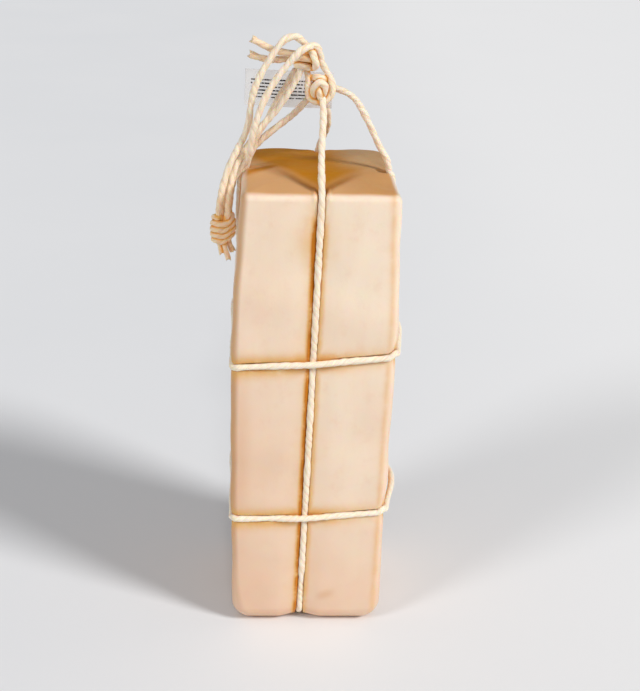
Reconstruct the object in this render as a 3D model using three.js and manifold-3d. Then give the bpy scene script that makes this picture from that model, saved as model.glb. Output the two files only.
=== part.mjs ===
// A tall block of stretched-curd cheese, tied with twine. Two cords cross under the base, climb the
// four sides and meet in a knot above the top, two rings go round the sides, and a doubled loop to
// hang the cheese by ends in a tail knot beside the left face. A small tag is threaded on the back leg.
// Millimetres, +Z up, the front towards -Y and the origin under the middle of the whole.
import * as THREE from 'three';
import { mergeVertices } from 'three/addons/utils/BufferGeometryUtils.js';
import Module from 'manifold-3d';

const wasm = await Module();
wasm.setup();

// Block sizes
const WIDTH = 110;
const DEPTH = 118;
const HEIGHT = 336;
const BARREL = 2.6; // how far the front and the back stand out at mid height
const SIDE_BARREL = 1.2; // and the left and right sides
const BOW = 1.4; // how far the middle stands out to the left at mid height
const SWELL = 0.9; // how far all sides swell above the upper ring
const SWELL_LEVEL = 252;
const SWELL_HALF = 50; // half of the height of that swelling
const TAPER = 3; // how far the left and right sides draw in at the top
const TAPER_START = 0.6; // share of the height where that begins
const LEAN = 2; // sideways shift of the top against the base
const CROWN = 2; // rise of the middle of the top
const CORNERS_LOW = [15, 15, 20, 20]; // radii of the upright edges at the base, from the front left one round
const CORNERS_BODY = [6, 6, 16, 16]; // and at mid height
const CORNERS_TOP = [6, 6, 21, 21]; // and at the top
const CORNER_BLENDS = [45, 45, 70, 70]; // heights over which they change
const LOW_FILLET = 14;
const TOP_FILLET = 5.5;
const BASE_MIDDLE = -5; // x of the point under the base where the cords cross
const BALANCE = -2.6; // shift of the whole in x, which brings the origin under the middle of its box

// Twine sizes
const TWINE = 4.7; // diameter
const RADIUS = TWINE / 2;
const TWINE_SIDES = 8;
const JOINT_GAP = 0.4; // between twine and the pieces it enters
const SUNK = 3; // how far the upright cords sink below the floor of their valleys
const SUNK_LOW = 4.4; // and at the base
const SUNK_TOP = 1.2; // and at the top, where the channel stays shallower than the fillet
const CLEARANCE = 0.5; // between the twine and the floor of its channel
const EDGE_CLEARANCE = 1.7; // more of it where a cord bends round the base or the top
const RING_EDGE_CLEARANCE = 0.7; // and where a ring bends round an upright edge
const LOW_BEND = 18; // height over which the cords' dies away above the base
const TOP_BEND = 14; // and below the top
const CHANNEL_FLOOR = RADIUS + JOINT_GAP; // half of the floor of a channel on a side
const BASE_CHANNEL_FLOOR = 3.6; // and under the base
const CHANNEL_WALL = 2.6; // width of each sloping wall of a channel
const CROSSING_HALF = 26; // half of the stretch where one cord rises over the other under the base

// The valley that the upright cords press into each side
const VALLEY_HALF = 20; // half of its width
const VALLEY_LOW = 4; // depth at the base
const LOW_REACH = 50; // height over which the base's depth dies away
const TOP_FADE = 0.6; // share of the way out from the middle of the top where it begins
const RING_VALLEY = 0.6; // depth of the shallow valley along the rings
const RING_VALLEY_HALF = 12;

// The sides go counter-clockwise from the front. Each has the way out, the way along, the distance of its
// upright cord from the middle at the base and at the top, the depth of its valley at mid height and at the
// top, and how far down from the top the latter reaches.
const SIDES = [
  { out: [0, -1], along: [1, 0], lineLow: -5, lineTop: 0, valley: 1.2, valleyTop: 2, topReach: 40 },
  { out: [1, 0], along: [0, 1], lineLow: 0, lineTop: 2, valley: 1.2, valleyTop: 2, topReach: 40 },
  { out: [0, 1], along: [-1, 0], lineLow: 3, lineTop: -2, valley: 1.2, valleyTop: 2, topReach: 40 },
  { out: [-1, 0], along: [0, -1], lineLow: 0, lineTop: -3, valley: 7, valleyTop: 0.4, topReach: 70 },
];
const [FRONT, RIGHT, BACK, LEFT] = [0, 1, 2, 3];
const STRAIGHT = 0.7; // share of a side's half that is straight, the rest being half of the round edge

// The rings. Corners run front left, front right, back right, back left: the ring's height and how far it
// sinks into the upright edge. Each side then has how far the ring sags below the line between its corners,
// how far its middle stands out where it crosses the upright cord, and the share of the side's half over
// which it rises to that.
const RINGS = {
  twine_ring_lower: {
    heights: [93, 101.2, 89.5, 86.5],
    sunk: [3.2, 2.2, 1.5, 1],
    sags: [2.3, 0, 0, 0],
    peaks: [4, 9.6, 4, -0.3],
    reaches: [0.4, 0.85, 0.4, 0.5],
  },
  twine_ring_upper: {
    heights: [212.8, 225, 216.5, 219],
    sunk: [3.2, 2.2, 1.5, 1.8],
    sags: [1.6, 0, 0, 0],
    peaks: [4, 6.7, 4, -0.9],
    reaches: [0.4, 0.85, 0.4, 0.5],
  },
};

// Routes of the free twine, from the main knot outwards
const LOOPS = {
  loop_outer: [
    [-8.4, -5, 418.4], [-11.8, -6, 423], [-17.1, -7, 426.6], [-23, -8, 425.3], [-27.5, -9, 421.2],
    [-33.2, -10, 412.9], [-39.6, -11, 401.9], [-43.7, -12, 391.6], [-45.9, -12, 381], [-47, -11.5, 370.9],
    [-49.8, -11, 361.4], [-54, -13, 353.4], [-59, -15, 343.6], [-62.9, -17, 332.3], [-65.5, -19, 321],
    [-67, -19.5, 310],
  ],
  loop_front: [
    [-5.3, -9, 421.1], [-10, -12, 420.6], [-14.5, -13.5, 417.9], [-22.8, -15, 409], [-31.7, -16, 396.6],
    [-36.8, -16.5, 386.8], [-40.9, -17, 376.2], [-43.6, -17.5, 366.9], [-45.3, -16.5, 358.5],
    [-46, -14, 351], [-47.9, -10.5, 344.7], [-52, -7.5, 339], [-55.9, -5.5, 332.4], [-58.2, -7, 324.6],
    [-59.4, -8.5, 316], [-60.2, -10, 308.5],
  ],
  loop_inner: [
    [-12.1, -5, 407.9], [-14.6, -6, 401.5], [-20.9, -7, 390.4], [-29.3, -7.5, 377.6], [-37.2, -7.5, 368.3],
    [-43.1, -7, 360.3], [-48.4, -7.5, 352.8], [-53.1, -9.5, 345.6], [-57, -13, 336.8], [-59.2, -16, 326.5],
    [-60.5, -18, 316.8], [-61, -18.5, 309],
  ],
  loop_back: [
    [-15.8, 1, 404.7], [-20.2, 2, 396.4], [-26, 2.5, 386.2], [-31.9, 2, 374.7], [-37.8, 1, 364.6],
    [-43.2, 0, 356.4], [-48.5, -1, 349], [-53.2, -1, 341.2], [-58.3, -0.5, 332.6], [-62, -3, 322.6],
    [-64.5, -7, 313.5], [-65.5, -9.5, 308],
  ],
};
const LOOSE_ENDS = {
  loose_end_upper: [
    [-14, -1.5, 413.8], [-21.3, -1, 414.8], [-29.9, 0, 416], [-37.2, 0, 419.1], [-45.1, -1, 423.3],
  ],
  loose_end_lower: [
    [-13, 3.6, 410], [-20.5, 4.6, 410.1], [-29.7, 4.8, 409.2], [-39.1, 4.5, 410.1], [-46.7, 4, 412.6],
  ],
};

// Routes of the four legs from the main knot down towards the top's edges
const LEGS = [
  [[1.6, -6, 388.5], [2.2, -17, 378.5], [1.2, -31, 364.6], [0.6, -44, 350.8]],
  [[8, 1, 392.6], [17.4, 1, 389.5], [24.4, 1, 384.6], [34.6, 1.5, 368], [41.5, 2, 354.2], [48, 2, 343]],
  [[1.5, 4.5, 388.5], [2.2, 10, 386.6], [5, 17, 379.5], [8.3, 34, 359.6], [4.5, 52, 342.5]],
  [[-6.5, 2.5, 385.5], [-16.4, 3.5, 374], [-28.3, 4, 364], [-37.7, 4.5, 355.8], [-43.8, 4.2, 349]],
];

// Main knot: a round heart with a collar laid round it, a turn over its front, and a smaller heart above
const HEART = { middle: [0.5, 0, 391.5], radii: [7, 6.5, 7.5] };
const UPPER_HEART = { middle: [-8, -2, 413.5], radii: [6, 5.5, 5.5] };
const HEART_SECTORS = 12;
const HEART_BANDS = 8;
const COLLAR = [
  [-4, -4, 420], [-0.4, -5, 412], [5.6, -6, 402], [8.2, -6.5, 395], [7, -6.5, 388.6], [3, -6.5, 384.2],
  [-3, -6, 384], [-7, -5.5, 388], [-8, -5, 394], [-8, -4, 400], [-10.6, -3, 406], [-12, -3, 410],
];
const FRONT_TURN = [[-3.4, -7, 389], [-4, -10, 394], [-0.6, -11.5, 397], [3, -10.5, 395], [3.4, -8, 390]];
const UPPER_TURN = { radius: 5.6, turns: 1.4, pitch: 5, tilt: 0.9, points: 14 };

// Tail knot: four wraps of twine one above the other, and the cut ends below them
const TAIL_MIDDLE = [-64.2, -14, 297.9];
const TAIL_WRAPS = 4;
const TAIL_PITCH = 4;
const TAIL_RADIUS = 8.6;
const TAIL_NECK = 6.4; // radius in the furrow between two wraps
const TAIL_SECTORS = 14;
const TAIL_ARC_STEPS = 4; // along the outline of one wrap
const TAIL_END_RADIUS = 1.9;
const TAIL_ENDS = [
  [[-66.4, -15, 291], [-66, -15, 285.5], [-64.6, -15.5, 280]],
  [[-61.4, -13, 291], [-59.8, -13, 286], [-57.6, -13.5, 281]],
  [[-63.4, -17, 290], [-62.2, -17.5, 283], [-60.2, -18, 276.5]],
];

// Tag
const TAG_WIDTH = 59.5;
const TAG_HEIGHT = 24.4;
const TAG_THICKNESS = 0.6;
const TAG_CORNER = 1.5;
const TAG_ARC_STEPS = 5;
const TAG_MIDDLE = [-20.4, 8.6, 389.2];
const TAG_TILT = 0.026; // radians, its right end lower
const TAG_HOLE = 3.8;
const TAG_HOLE_PLACE = [22.5, -2.2]; // from the middle of the tag, along it and up it

// How finely the block is divided
const ROW_STEP = 25; // greatest height between two rows on the sides
const BASE_SCALES = [0.1, 0.3, 0.55, 0.8, 1]; // rows on the base, from the middle out to the fillet
const TOP_SCALES = [1, 0.82, 0.55, 0.25]; // rows on the top, from the fillet in to the middle
const FILLET_TURNS = [0.25, 0.5, 0.75]; // rows on a fillet, as shares of a quarter turn
const CHANNEL_STEPS = [-12, -5.5, -2.9, 0, 2.9, 5.5, 12]; // across a channel and its valley
const OUTER_STEP = 30; // the last step out along the straight part of a side
const EDGE_PLACE = 0.85; // half way round each half of an upright edge

// Where the points of the twine on the block are taken
const CORD_STEP = 31; // greatest height between two points of an upright cord
const CORD_LOWEST = 25; // its lowest and highest points between the fillets
const CORD_HIGHEST = HEIGHT - 18;
const CORD_TOP_TURNS = [0.6, 0.2]; // round the fillets, as shares of a quarter turn
const CORD_LOW_TURNS = [-0.1, -0.4, -0.7];
const CORD_BASE_SCALES = [0.95, 0.7, 0.4, 0.15];
const RING_PLACES = [0.15, 0.3, 0.45, 0.6, 0.74, 0.85, 0.95]; // along each half of a side

// Steps along each kind of twine
const STEPS = { harness: 76, ring: 88, loop: 18, loose: 6 };
const KNOT_STEPS = { collar: 18, frontTurn: 6, upperTurn: 12, tailEnd: 4 };

const CHEESE = new THREE.MeshStandardMaterial({ color: 0xebcdb0, roughness: 0.42, metalness: 0 });
const STRAW = new THREE.MeshStandardMaterial({ color: 0xe6cfa6, roughness: 0.75, metalness: 0 });
const FILM = new THREE.MeshStandardMaterial({ color: 0xdfd6cb, roughness: 0.35, metalness: 0 });

const quarter = Math.PI / 2;
const mix = THREE.MathUtils.lerp;
const clamp = THREE.MathUtils.clamp;
const smooth = THREE.MathUtils.smoothstep;
const vectors = (list) => list.map((p) => new THREE.Vector3(...p));

// A rounded hump of height 1 that ends level at a distance of 1.
function bell(u) {
  return Math.abs(u) < 1 ? (1 - u * u) ** 2 : 0;
}

// A channel of depth 1 with a level floor and sloping walls.
function trough(distance, floor) {
  return 1 - smooth(Math.abs(distance), floor, floor + CHANNEL_WALL);
}

// Levels from one height to another, evenly spaced and at most a step apart.
function levels(low, high, step) {
  const count = Math.ceil((high - low) / step);
  return Array.from({ length: count + 1 }, (_, i) => mix(low, high, i / count));
}

// Radius of an upright edge at a height.
function edgeRadius(edge, z) {
  const body = CORNERS_BODY[edge];
  const top = clamp(1 - (HEIGHT - z) / CORNER_BLENDS[edge], 0, 1) ** 2;
  const low = clamp(1 - z / CORNER_BLENDS[edge], 0, 1) ** 2;
  return body + (CORNERS_TOP[edge] - body) * top + (CORNERS_LOW[edge] - body) * low;
}

// Half sizes of the block, its bow to the left and its middle at a height.
function plan(z) {
  const share = z / HEIGHT;
  const wave = Math.sin(Math.PI * share);
  const swell = SWELL * bell((z - SWELL_LEVEL) / SWELL_HALF);
  const drawn = TAPER * clamp((share - TAPER_START) / (1 - TAPER_START), 0, 1) ** 2;
  const bow = BOW * wave;
  return {
    halves: [WIDTH / 2 + SIDE_BARREL * wave + swell - drawn, DEPTH / 2 + BARREL * wave + swell],
    bow,
    middle: LEAN * (share - 0.5) - bow,
  };
}

// Number of the upright edge at the end of a side that a place lies towards.
const cornerTowards = (side, place) => (place > 0 ? (side + 1) % SIDES.length : side);

// A point of the smooth block and the way out of it. Place runs from -1 to 1 along a side, with 0 on the
// upright cord, and a row has a height, an inset from the side, a tilt of the way out and, on the base
// and the top, a scale towards the middle. The cords stay straight where the block bows.
function onBlock(side, place, row) {
  const { halves, bow, middle } = plan(row.z);
  const { out, along, lineLow, lineTop } = SIDES[side];
  const corner = edgeRadius(cornerTowards(side, place), row.z);
  const halfAlong = halves[side % 2];
  const halfOut = halves[1 - (side % 2)];
  const reach = Math.abs(place);
  const flat = Math.min(1, reach / STRAIGHT);
  const arc = (Math.max(0, reach - STRAIGHT) / (1 - STRAIGHT)) * (quarter / 2);
  const sign = Math.sign(place);
  const line = mix(lineLow, lineTop, row.z / HEIGHT) + along[0] * bow;
  const turn = [sign * Math.sin(arc), Math.cos(arc)];
  const far = (halfAlong - corner) * flat + corner * Math.sin(arc);
  const s = sign * far + line * (1 - flat) - row.inset * turn[0];
  const o = halfOut - corner * (1 - Math.cos(arc)) - row.inset * turn[1];
  const normal = new THREE.Vector3(
    (along[0] * turn[0] + out[0] * turn[1]) * Math.cos(row.tilt),
    (along[1] * turn[0] + out[1] * turn[1]) * Math.cos(row.tilt),
    Math.sin(row.tilt),
  );
  const centre = row.tilt < 0 ? BASE_MIDDLE : middle;
  const x = mix(centre, middle + along[0] * s + out[0] * o, row.scale);
  const y = (along[1] * s + out[1] * o) * row.scale;
  const crown = row.tilt > 0 ? CROWN * (1 - row.scale ** 2) : 0;
  return { point: new THREE.Vector3(x, y, row.z + crown), normal, across: (s - line) * row.scale };
}

// A depth on a side at a height, from those at mid height, at the base and at the top.
function depthAt(side, z, body, low, top) {
  const nearBase = Math.exp(-((z / LOW_REACH) ** 2));
  const nearTop = Math.exp(-(((HEIGHT - z) / SIDES[side].topReach) ** 4));
  return body + (low - body) * nearBase + (top - body) * nearTop;
}

// Depth of a side's valley at a height.
function valleyDepth(side, z) {
  return depthAt(side, z, SIDES[side].valley, VALLEY_LOW, SIDES[side].valleyTop);
}

// How much of a height lies in the bends round the base and the top.
function nearBend(z) {
  return Math.exp(-((z / LOW_BEND) ** 2)) + Math.exp(-(((HEIGHT - z) / TOP_BEND) ** 2));
}

// Depth of the lowest line of an upright cord below the smooth block.
function cordDepth(side, z) {
  return valleyDepth(side, z) + depthAt(side, z, SUNK, SUNK_LOW, SUNK_TOP);
}

// Height of a ring, and the distance of its middle from the smooth block, at a place on a side.
function ringHeight(ring, side, place) {
  const straight = mix(ring.heights[side], ring.heights[(side + 1) % SIDES.length], (place + 1) / 2);
  return straight - ring.sags[side] * (1 - place * place);
}

function ringOffset(ring, side, place) {
  const sunk = mix(ring.sunk[side], ring.sunk[(side + 1) % SIDES.length], smooth(place, -1, 1));
  const near = Math.min(1, Math.abs(place) / ring.reaches[side]);
  return mix(RADIUS - sunk, ring.peaks[side], 0.5 * (1 + Math.cos(Math.PI * near)));
}

// Extra height of the left to right cord where it passes over the front to back one under the base.
function crossingLift(x) {
  return (TWINE + 2 * JOINT_GAP) * bell((x - BASE_MIDDLE) / CROSSING_HALF);
}

// How far the surface is pressed in by the twine on a side.
function pressedOnSide(side, place, row, across) {
  const kept = row.tilt > 0 ? smooth(row.scale, TOP_FADE, 1) : 1;
  const floor = cordDepth(side, row.z) + CLEARANCE + EDGE_CLEARANCE * nearBend(row.z);
  const broad = valleyDepth(side, row.z) * bell(across / VALLEY_HALF) * kept;
  const channel = floor * trough(across, CHANNEL_FLOOR) * kept;
  let ringBroad = 0;
  let ringChannel = 0;
  for (const ring of Object.values(RINGS)) {
    const away = row.z - ringHeight(ring, side, place);
    const gap = CLEARANCE + RING_EDGE_CLEARANCE * smooth(Math.abs(place), STRAIGHT, EDGE_PLACE);
    const depth = Math.max(0, RADIUS + gap - ringOffset(ring, side, place));
    ringBroad += RING_VALLEY * bell(away / RING_VALLEY_HALF);
    ringChannel = Math.max(ringChannel, depth * trough(away, CHANNEL_FLOOR));
  }
  return Math.max(broad + ringBroad, channel, ringChannel);
}

// How far the base is pressed in by the two cords that cross under it.
function pressedOnBase(x, y) {
  const floor = VALLEY_LOW + SUNK_LOW + CLEARANCE + EDGE_CLEARANCE;
  const broad = VALLEY_LOW * Math.max(bell((x - BASE_MIDDLE) / VALLEY_HALF), bell(y / VALLEY_HALF));
  const frontBack = floor * trough(x - BASE_MIDDLE, BASE_CHANNEL_FLOOR);
  const leftRight = (floor + crossingLift(x)) * trough(y, BASE_CHANNEL_FLOOR);
  return Math.max(broad, frontBack, leftRight);
}

// Rows on the base, on the top, on the sides and on the fillets between them.
const baseRow = (scale) => ({ z: 0, inset: LOW_FILLET, tilt: -quarter, scale });
const topRow = (scale) => ({ z: HEIGHT, inset: TOP_FILLET, tilt: quarter, scale });
const sideRow = (z) => ({ z, inset: 0, tilt: 0, scale: 1 });

function filletRow(tilt) {
  const radius = tilt < 0 ? LOW_FILLET : TOP_FILLET;
  const level = tilt < 0 ? LOW_FILLET : HEIGHT - TOP_FILLET;
  return { z: level + radius * Math.sin(tilt), inset: radius * (1 - Math.cos(tilt)), tilt, scale: 1 };
}

// The mean level of each ring, and the rows across it.
const RING_LEVELS = Object.values(RINGS).map((ring) => ring.heights.reduce((a, b) => a + b) / SIDES.length);
const RING_ROWS = RING_LEVELS.map((level) => CHANNEL_STEPS.map((step) => level + step));

// A side's rows are spaced for rings at one level, and then lifted to follow each ring where it runs.
function liftedRow(row, side, place) {
  if (row.tilt !== 0) return row;
  const stops = [LOW_FILLET];
  const lifts = [0];
  Object.values(RINGS).forEach((ring, i) => {
    const lift = ringHeight(ring, side, place) - RING_LEVELS[i];
    stops.push(RING_ROWS[i][0], RING_ROWS[i].at(-1));
    lifts.push(lift, lift);
  });
  stops.push(HEIGHT - TOP_FILLET);
  lifts.push(0);
  const k = Math.max(1, stops.findIndex((stop) => row.z <= stop));
  const share = (row.z - stops[k - 1]) / (stops[k] - stops[k - 1]);
  return sideRow(row.z + mix(lifts[k - 1], lifts[k], share));
}

// Rows of the block from the middle of the base to the middle of the top.
function blockRows() {
  const [lower, upper] = RING_ROWS;
  const heights = [
    ...levels(LOW_FILLET, lower[0], ROW_STEP).slice(0, -1),
    ...lower,
    ...levels(lower.at(-1), upper[0], ROW_STEP).slice(1, -1),
    ...upper,
    ...levels(upper.at(-1), HEIGHT - TOP_FILLET, ROW_STEP).slice(1),
  ];
  return [
    ...BASE_SCALES.map(baseRow),
    ...FILLET_TURNS.map((turn) => filletRow(quarter * (turn - 1))),
    ...heights.map(sideRow),
    ...FILLET_TURNS.map((turn) => filletRow(quarter * turn)),
    ...TOP_SCALES.map(topRow),
  ];
}

// Places along a side, from one corner up to the next, close together on the channel.
function blockPlaces(side) {
  const half = [WIDTH, DEPTH][side % 2] / 2;
  const toPlace = (step) => (STRAIGHT * step) / (half - CORNERS_BODY[cornerTowards(side, step)]);
  const steps = [-OUTER_STEP, ...CHANNEL_STEPS, OUTER_STEP].map(toPlace);
  return [-1, -EDGE_PLACE, -STRAIGHT, ...steps, STRAIGHT, EDGE_PLACE];
}

function pressedPoint(side, place, row) {
  const { point, normal, across } = onBlock(side, place, row);
  const onBase = row.tilt === -quarter && row.scale < 1;
  const depth = onBase ? pressedOnBase(point.x, point.y) : pressedOnSide(side, place, row, across);
  return point.addScaledVector(normal, -depth);
}

function cheeseGeometry() {
  const rows = blockRows();
  const columns = SIDES.flatMap((_, side) => blockPlaces(side).map((place) => ({ side, place })));
  const points = rows.flatMap((row) =>
    columns.map(({ side, place }) => pressedPoint(side, place, liftedRow(row, side, place))),
  );
  const count = columns.length;
  const lowPole = points.push(pressedPoint(FRONT, 0, baseRow(0))) - 1;
  const topPole = points.push(pressedPoint(FRONT, 0, topRow(0))) - 1;
  const triangles = [];
  for (let c = 0; c < count; c += 1) {
    const next = (c + 1) % count;
    triangles.push(lowPole, next, c);
    for (let r = 0; r < rows.length - 1; r += 1) {
      const here = r * count;
      const above = here + count;
      triangles.push(here + c, here + next, above + next);
      triangles.push(here + c, above + next, above + c);
    }
    const last = (rows.length - 1) * count;
    triangles.push(last + c, last + next, topPole);
  }
  const geometry = new THREE.BufferGeometry().setFromPoints(points);
  geometry.setIndex(triangles);
  geometry.computeVertexNormals();
  return geometry;
}

// Twine along points: a many-sided section carried along a smooth curve.
function twineGeometry({ points, steps, radius = RADIUS }) {
  const corners = [];
  for (let i = 0; i < TWINE_SIDES; i += 1) {
    const angle = (2 * Math.PI * i) / TWINE_SIDES;
    corners.push(new THREE.Vector2(radius * Math.cos(angle), radius * Math.sin(angle)));
  }
  const path = new THREE.CatmullRomCurve3(points, false, 'centripetal');
  path.arcLengthDivisions = 20 * steps;
  const section = new THREE.Shape(corners);
  return new THREE.ExtrudeGeometry(section, { steps, bevelEnabled: false, extrudePath: path });
}

// The middle of an upright cord on a side, from the top's edge down to the middle of the base.
function uprightRun(side, lift) {
  const rows = [
    ...CORD_TOP_TURNS.map((turn) => filletRow(quarter * turn)),
    ...levels(CORD_LOWEST, CORD_HIGHEST, CORD_STEP).reverse().map(sideRow),
    ...CORD_LOW_TURNS.map((turn) => filletRow(quarter * turn)),
    ...CORD_BASE_SCALES.map(baseRow),
  ];
  return rows.map((row) => {
    const { point, normal } = onBlock(side, 0, row);
    point.addScaledVector(normal, RADIUS - cordDepth(side, row.z));
    point.z += row.tilt === -quarter ? lift(point.x) : 0;
    return point;
  });
}

// A harness cord goes from the main knot down one side, under the base and up the opposite side.
function harnessRoute(side, opposite, lift) {
  const down = [...vectors(LEGS[side]), ...uprightRun(side, lift)];
  const up = [...vectors(LEGS[opposite]), ...uprightRun(opposite, lift)];
  return { points: [...down, ...up.reverse()], steps: STEPS.harness };
}

// A ring starts and ends at the middle of the back, a small gap apart.
function ringRoute(ring) {
  const places = [...RING_PLACES.map((place) => -place).reverse(), 0, ...RING_PLACES];
  const at = (side, place) => {
    const { point, normal } = onBlock(side, place, sideRow(ringHeight(ring, side, place)));
    return point.addScaledVector(normal, ringOffset(ring, side, place));
  };
  const round = [FRONT, RIGHT, BACK, LEFT].flatMap((side) => places.map((place) => at(side, place)));
  const start = BACK * places.length + RING_PLACES.length;
  const points = [...round.slice(start), ...round.slice(0, start + 1)].map((point) => point.clone());
  points[0].x -= JOINT_GAP / 2;
  points.at(-1).x += JOINT_GAP / 2;
  return { points, steps: STEPS.ring };
}

// Joining and cutting of closed shapes.
function toSolid(geometry) {
  const bare = geometry.clone();
  bare.deleteAttribute('normal');
  bare.deleteAttribute('uv');
  const merged = mergeVertices(bare, 1e-4);
  const index = [];
  for (let i = 0; i < merged.index.count; i += 3) {
    const [a, b, c] = [merged.index.getX(i), merged.index.getX(i + 1), merged.index.getX(i + 2)];
    if (a !== b && b !== c && c !== a) index.push(a, b, c);
  }
  const vertProperties = new Float32Array(merged.attributes.position.array);
  return new wasm.Manifold(new wasm.Mesh({ numProp: 3, vertProperties, triVerts: new Uint32Array(index) }));
}

function toGeometry(solid) {
  const mesh = solid.getMesh();
  const geometry = new THREE.BufferGeometry();
  geometry.setAttribute('position', new THREE.BufferAttribute(new Float32Array(mesh.vertProperties), 3));
  geometry.setIndex(new THREE.BufferAttribute(new Uint32Array(mesh.triVerts), 1));
  geometry.computeVertexNormals();
  return geometry;
}

const joined = (geometries) => geometries.map(toSolid).reduce((whole, piece) => whole.add(piece));

// A knot keeps a small gap round each piece of twine that enters it, and beyond its end.
function relieved(solid, routes) {
  const longer = (end, before) => end.clone().add(end.clone().sub(before).setLength(JOINT_GAP));
  return routes.reduce((left, { points, steps }) => {
    const first = longer(points[0], points[1]);
    const last = longer(points.at(-1), points.at(-2));
    const sleeve = { points: [first, ...points, last], steps, radius: RADIUS + JOINT_GAP };
    return left.subtract(toSolid(twineGeometry(sleeve)));
  }, solid);
}

function heartGeometry({ middle, radii }) {
  const geometry = new THREE.SphereGeometry(1, HEART_SECTORS, HEART_BANDS);
  geometry.scale(...radii);
  geometry.translate(...middle);
  return geometry;
}

// A turn and a half of twine round the upper heart of the main knot.
function upperTurnPoints() {
  const { radius, turns, pitch, tilt, points } = UPPER_TURN;
  const upright = new THREE.Vector3(0, 1, 0);
  const middle = new THREE.Vector3(...UPPER_HEART.middle);
  return Array.from({ length: points + 1 }, (_, i) => {
    const angle = (2 * Math.PI * turns * i) / points;
    const rise = pitch * (i / points - 0.5);
    const point = new THREE.Vector3(radius * Math.cos(angle), radius * Math.sin(angle), rise);
    return point.applyAxisAngle(upright, tilt).add(middle);
  });
}

function mainKnotGeometry(routes) {
  const pieces = [
    heartGeometry(HEART),
    heartGeometry(UPPER_HEART),
    twineGeometry({ points: vectors(COLLAR), steps: KNOT_STEPS.collar }),
    twineGeometry({ points: vectors(FRONT_TURN), steps: KNOT_STEPS.frontTurn }),
    twineGeometry({ points: upperTurnPoints(), steps: KNOT_STEPS.upperTurn }),
  ];
  return toGeometry(relieved(joined(pieces), routes));
}

// The wraps' outline is a row of arcs between furrows, turned about the knot's axis.
function tailKnotGeometry(routes) {
  const half = (TAIL_WRAPS * TAIL_PITCH) / 2;
  const profile = [new THREE.Vector2(0, -half)];
  for (let i = 0; i <= TAIL_WRAPS * TAIL_ARC_STEPS; i += 1) {
    const bulge = Math.abs(Math.sin((Math.PI * i) / TAIL_ARC_STEPS));
    const y = -half + (TAIL_PITCH * i) / TAIL_ARC_STEPS;
    profile.push(new THREE.Vector2(mix(TAIL_NECK, TAIL_RADIUS, bulge), y));
  }
  profile.push(new THREE.Vector2(0, half));
  const wraps = new THREE.LatheGeometry(profile, TAIL_SECTORS);
  wraps.rotateX(quarter);
  wraps.translate(...TAIL_MIDDLE);
  const ends = TAIL_ENDS.map((list) =>
    twineGeometry({ points: vectors(list), steps: KNOT_STEPS.tailEnd, radius: TAIL_END_RADIUS }),
  );
  return toGeometry(relieved(joined([wraps, ...ends]), routes));
}

// The tag is a thin plate with round corners and a hole for the back leg.
function tagGeometry() {
  const x = TAG_WIDTH / 2 - TAG_CORNER;
  const y = TAG_HEIGHT / 2 - TAG_CORNER;
  const outline = new THREE.Shape();
  outline.absarc(x, y, TAG_CORNER, 0, quarter);
  outline.absarc(-x, y, TAG_CORNER, quarter, 2 * quarter);
  outline.absarc(-x, -y, TAG_CORNER, 2 * quarter, 3 * quarter);
  outline.absarc(x, -y, TAG_CORNER, 3 * quarter, 4 * quarter);
  outline.closePath();
  outline.holes.push(new THREE.Path().absarc(...TAG_HOLE_PLACE, TAG_HOLE, 0, 4 * quarter, true));
  const options = { depth: TAG_THICKNESS, bevelEnabled: false, curveSegments: TAG_ARC_STEPS };
  const geometry = new THREE.ExtrudeGeometry(outline, options);
  geometry.translate(0, 0, -TAG_THICKNESS / 2);
  return geometry;
}

const model = new THREE.Group();
model.position.x = BALANCE;

function addPiece(name, geometry, material) {
  const mesh = new THREE.Mesh(geometry, material);
  mesh.name = name;
  model.add(mesh);
  return mesh;
}

addPiece('cheese_block', cheeseGeometry(), CHEESE);

const routes = {
  twine_front_back: harnessRoute(FRONT, BACK, () => 0),
  twine_left_right: harnessRoute(RIGHT, LEFT, crossingLift),
};
for (const [name, list] of Object.entries(LOOPS)) {
  routes[name] = { points: vectors(list), steps: STEPS.loop };
}
for (const [name, list] of Object.entries(LOOSE_ENDS)) {
  routes[name] = { points: vectors(list), steps: STEPS.loose };
}
for (const [name, route] of Object.entries(routes)) {
  addPiece(name, twineGeometry(route), STRAW);
}
for (const [name, ring] of Object.entries(RINGS)) {
  addPiece(name, twineGeometry(ringRoute(ring)), STRAW);
}
const loopRoutes = Object.keys(LOOPS).map((name) => routes[name]);
addPiece('knot_main', mainKnotGeometry(Object.values(routes)), STRAW);
addPiece('knot_tail', tailKnotGeometry(loopRoutes), STRAW);

const tag = addPiece('tag', tagGeometry(), FILM);
tag.rotation.set(quarter, TAG_TILT, 0, 'YXZ');
tag.position.set(...TAG_MIDDLE);

const group = new THREE.Group();
group.add(model);

export default group;
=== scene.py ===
# %% [markdown]
# # A tied block of stretched-curd cheese
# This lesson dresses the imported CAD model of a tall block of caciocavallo. The CAD solids fix every size
# and place. Each is replaced here by a finer surface with a finish of its own, worked out with numpy as
# points on a grid of two parameters and only then put into a Blender mesh.

# %% The frame
import math

import bpy
import numpy as np
from mathutils import Matrix, Vector


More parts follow.
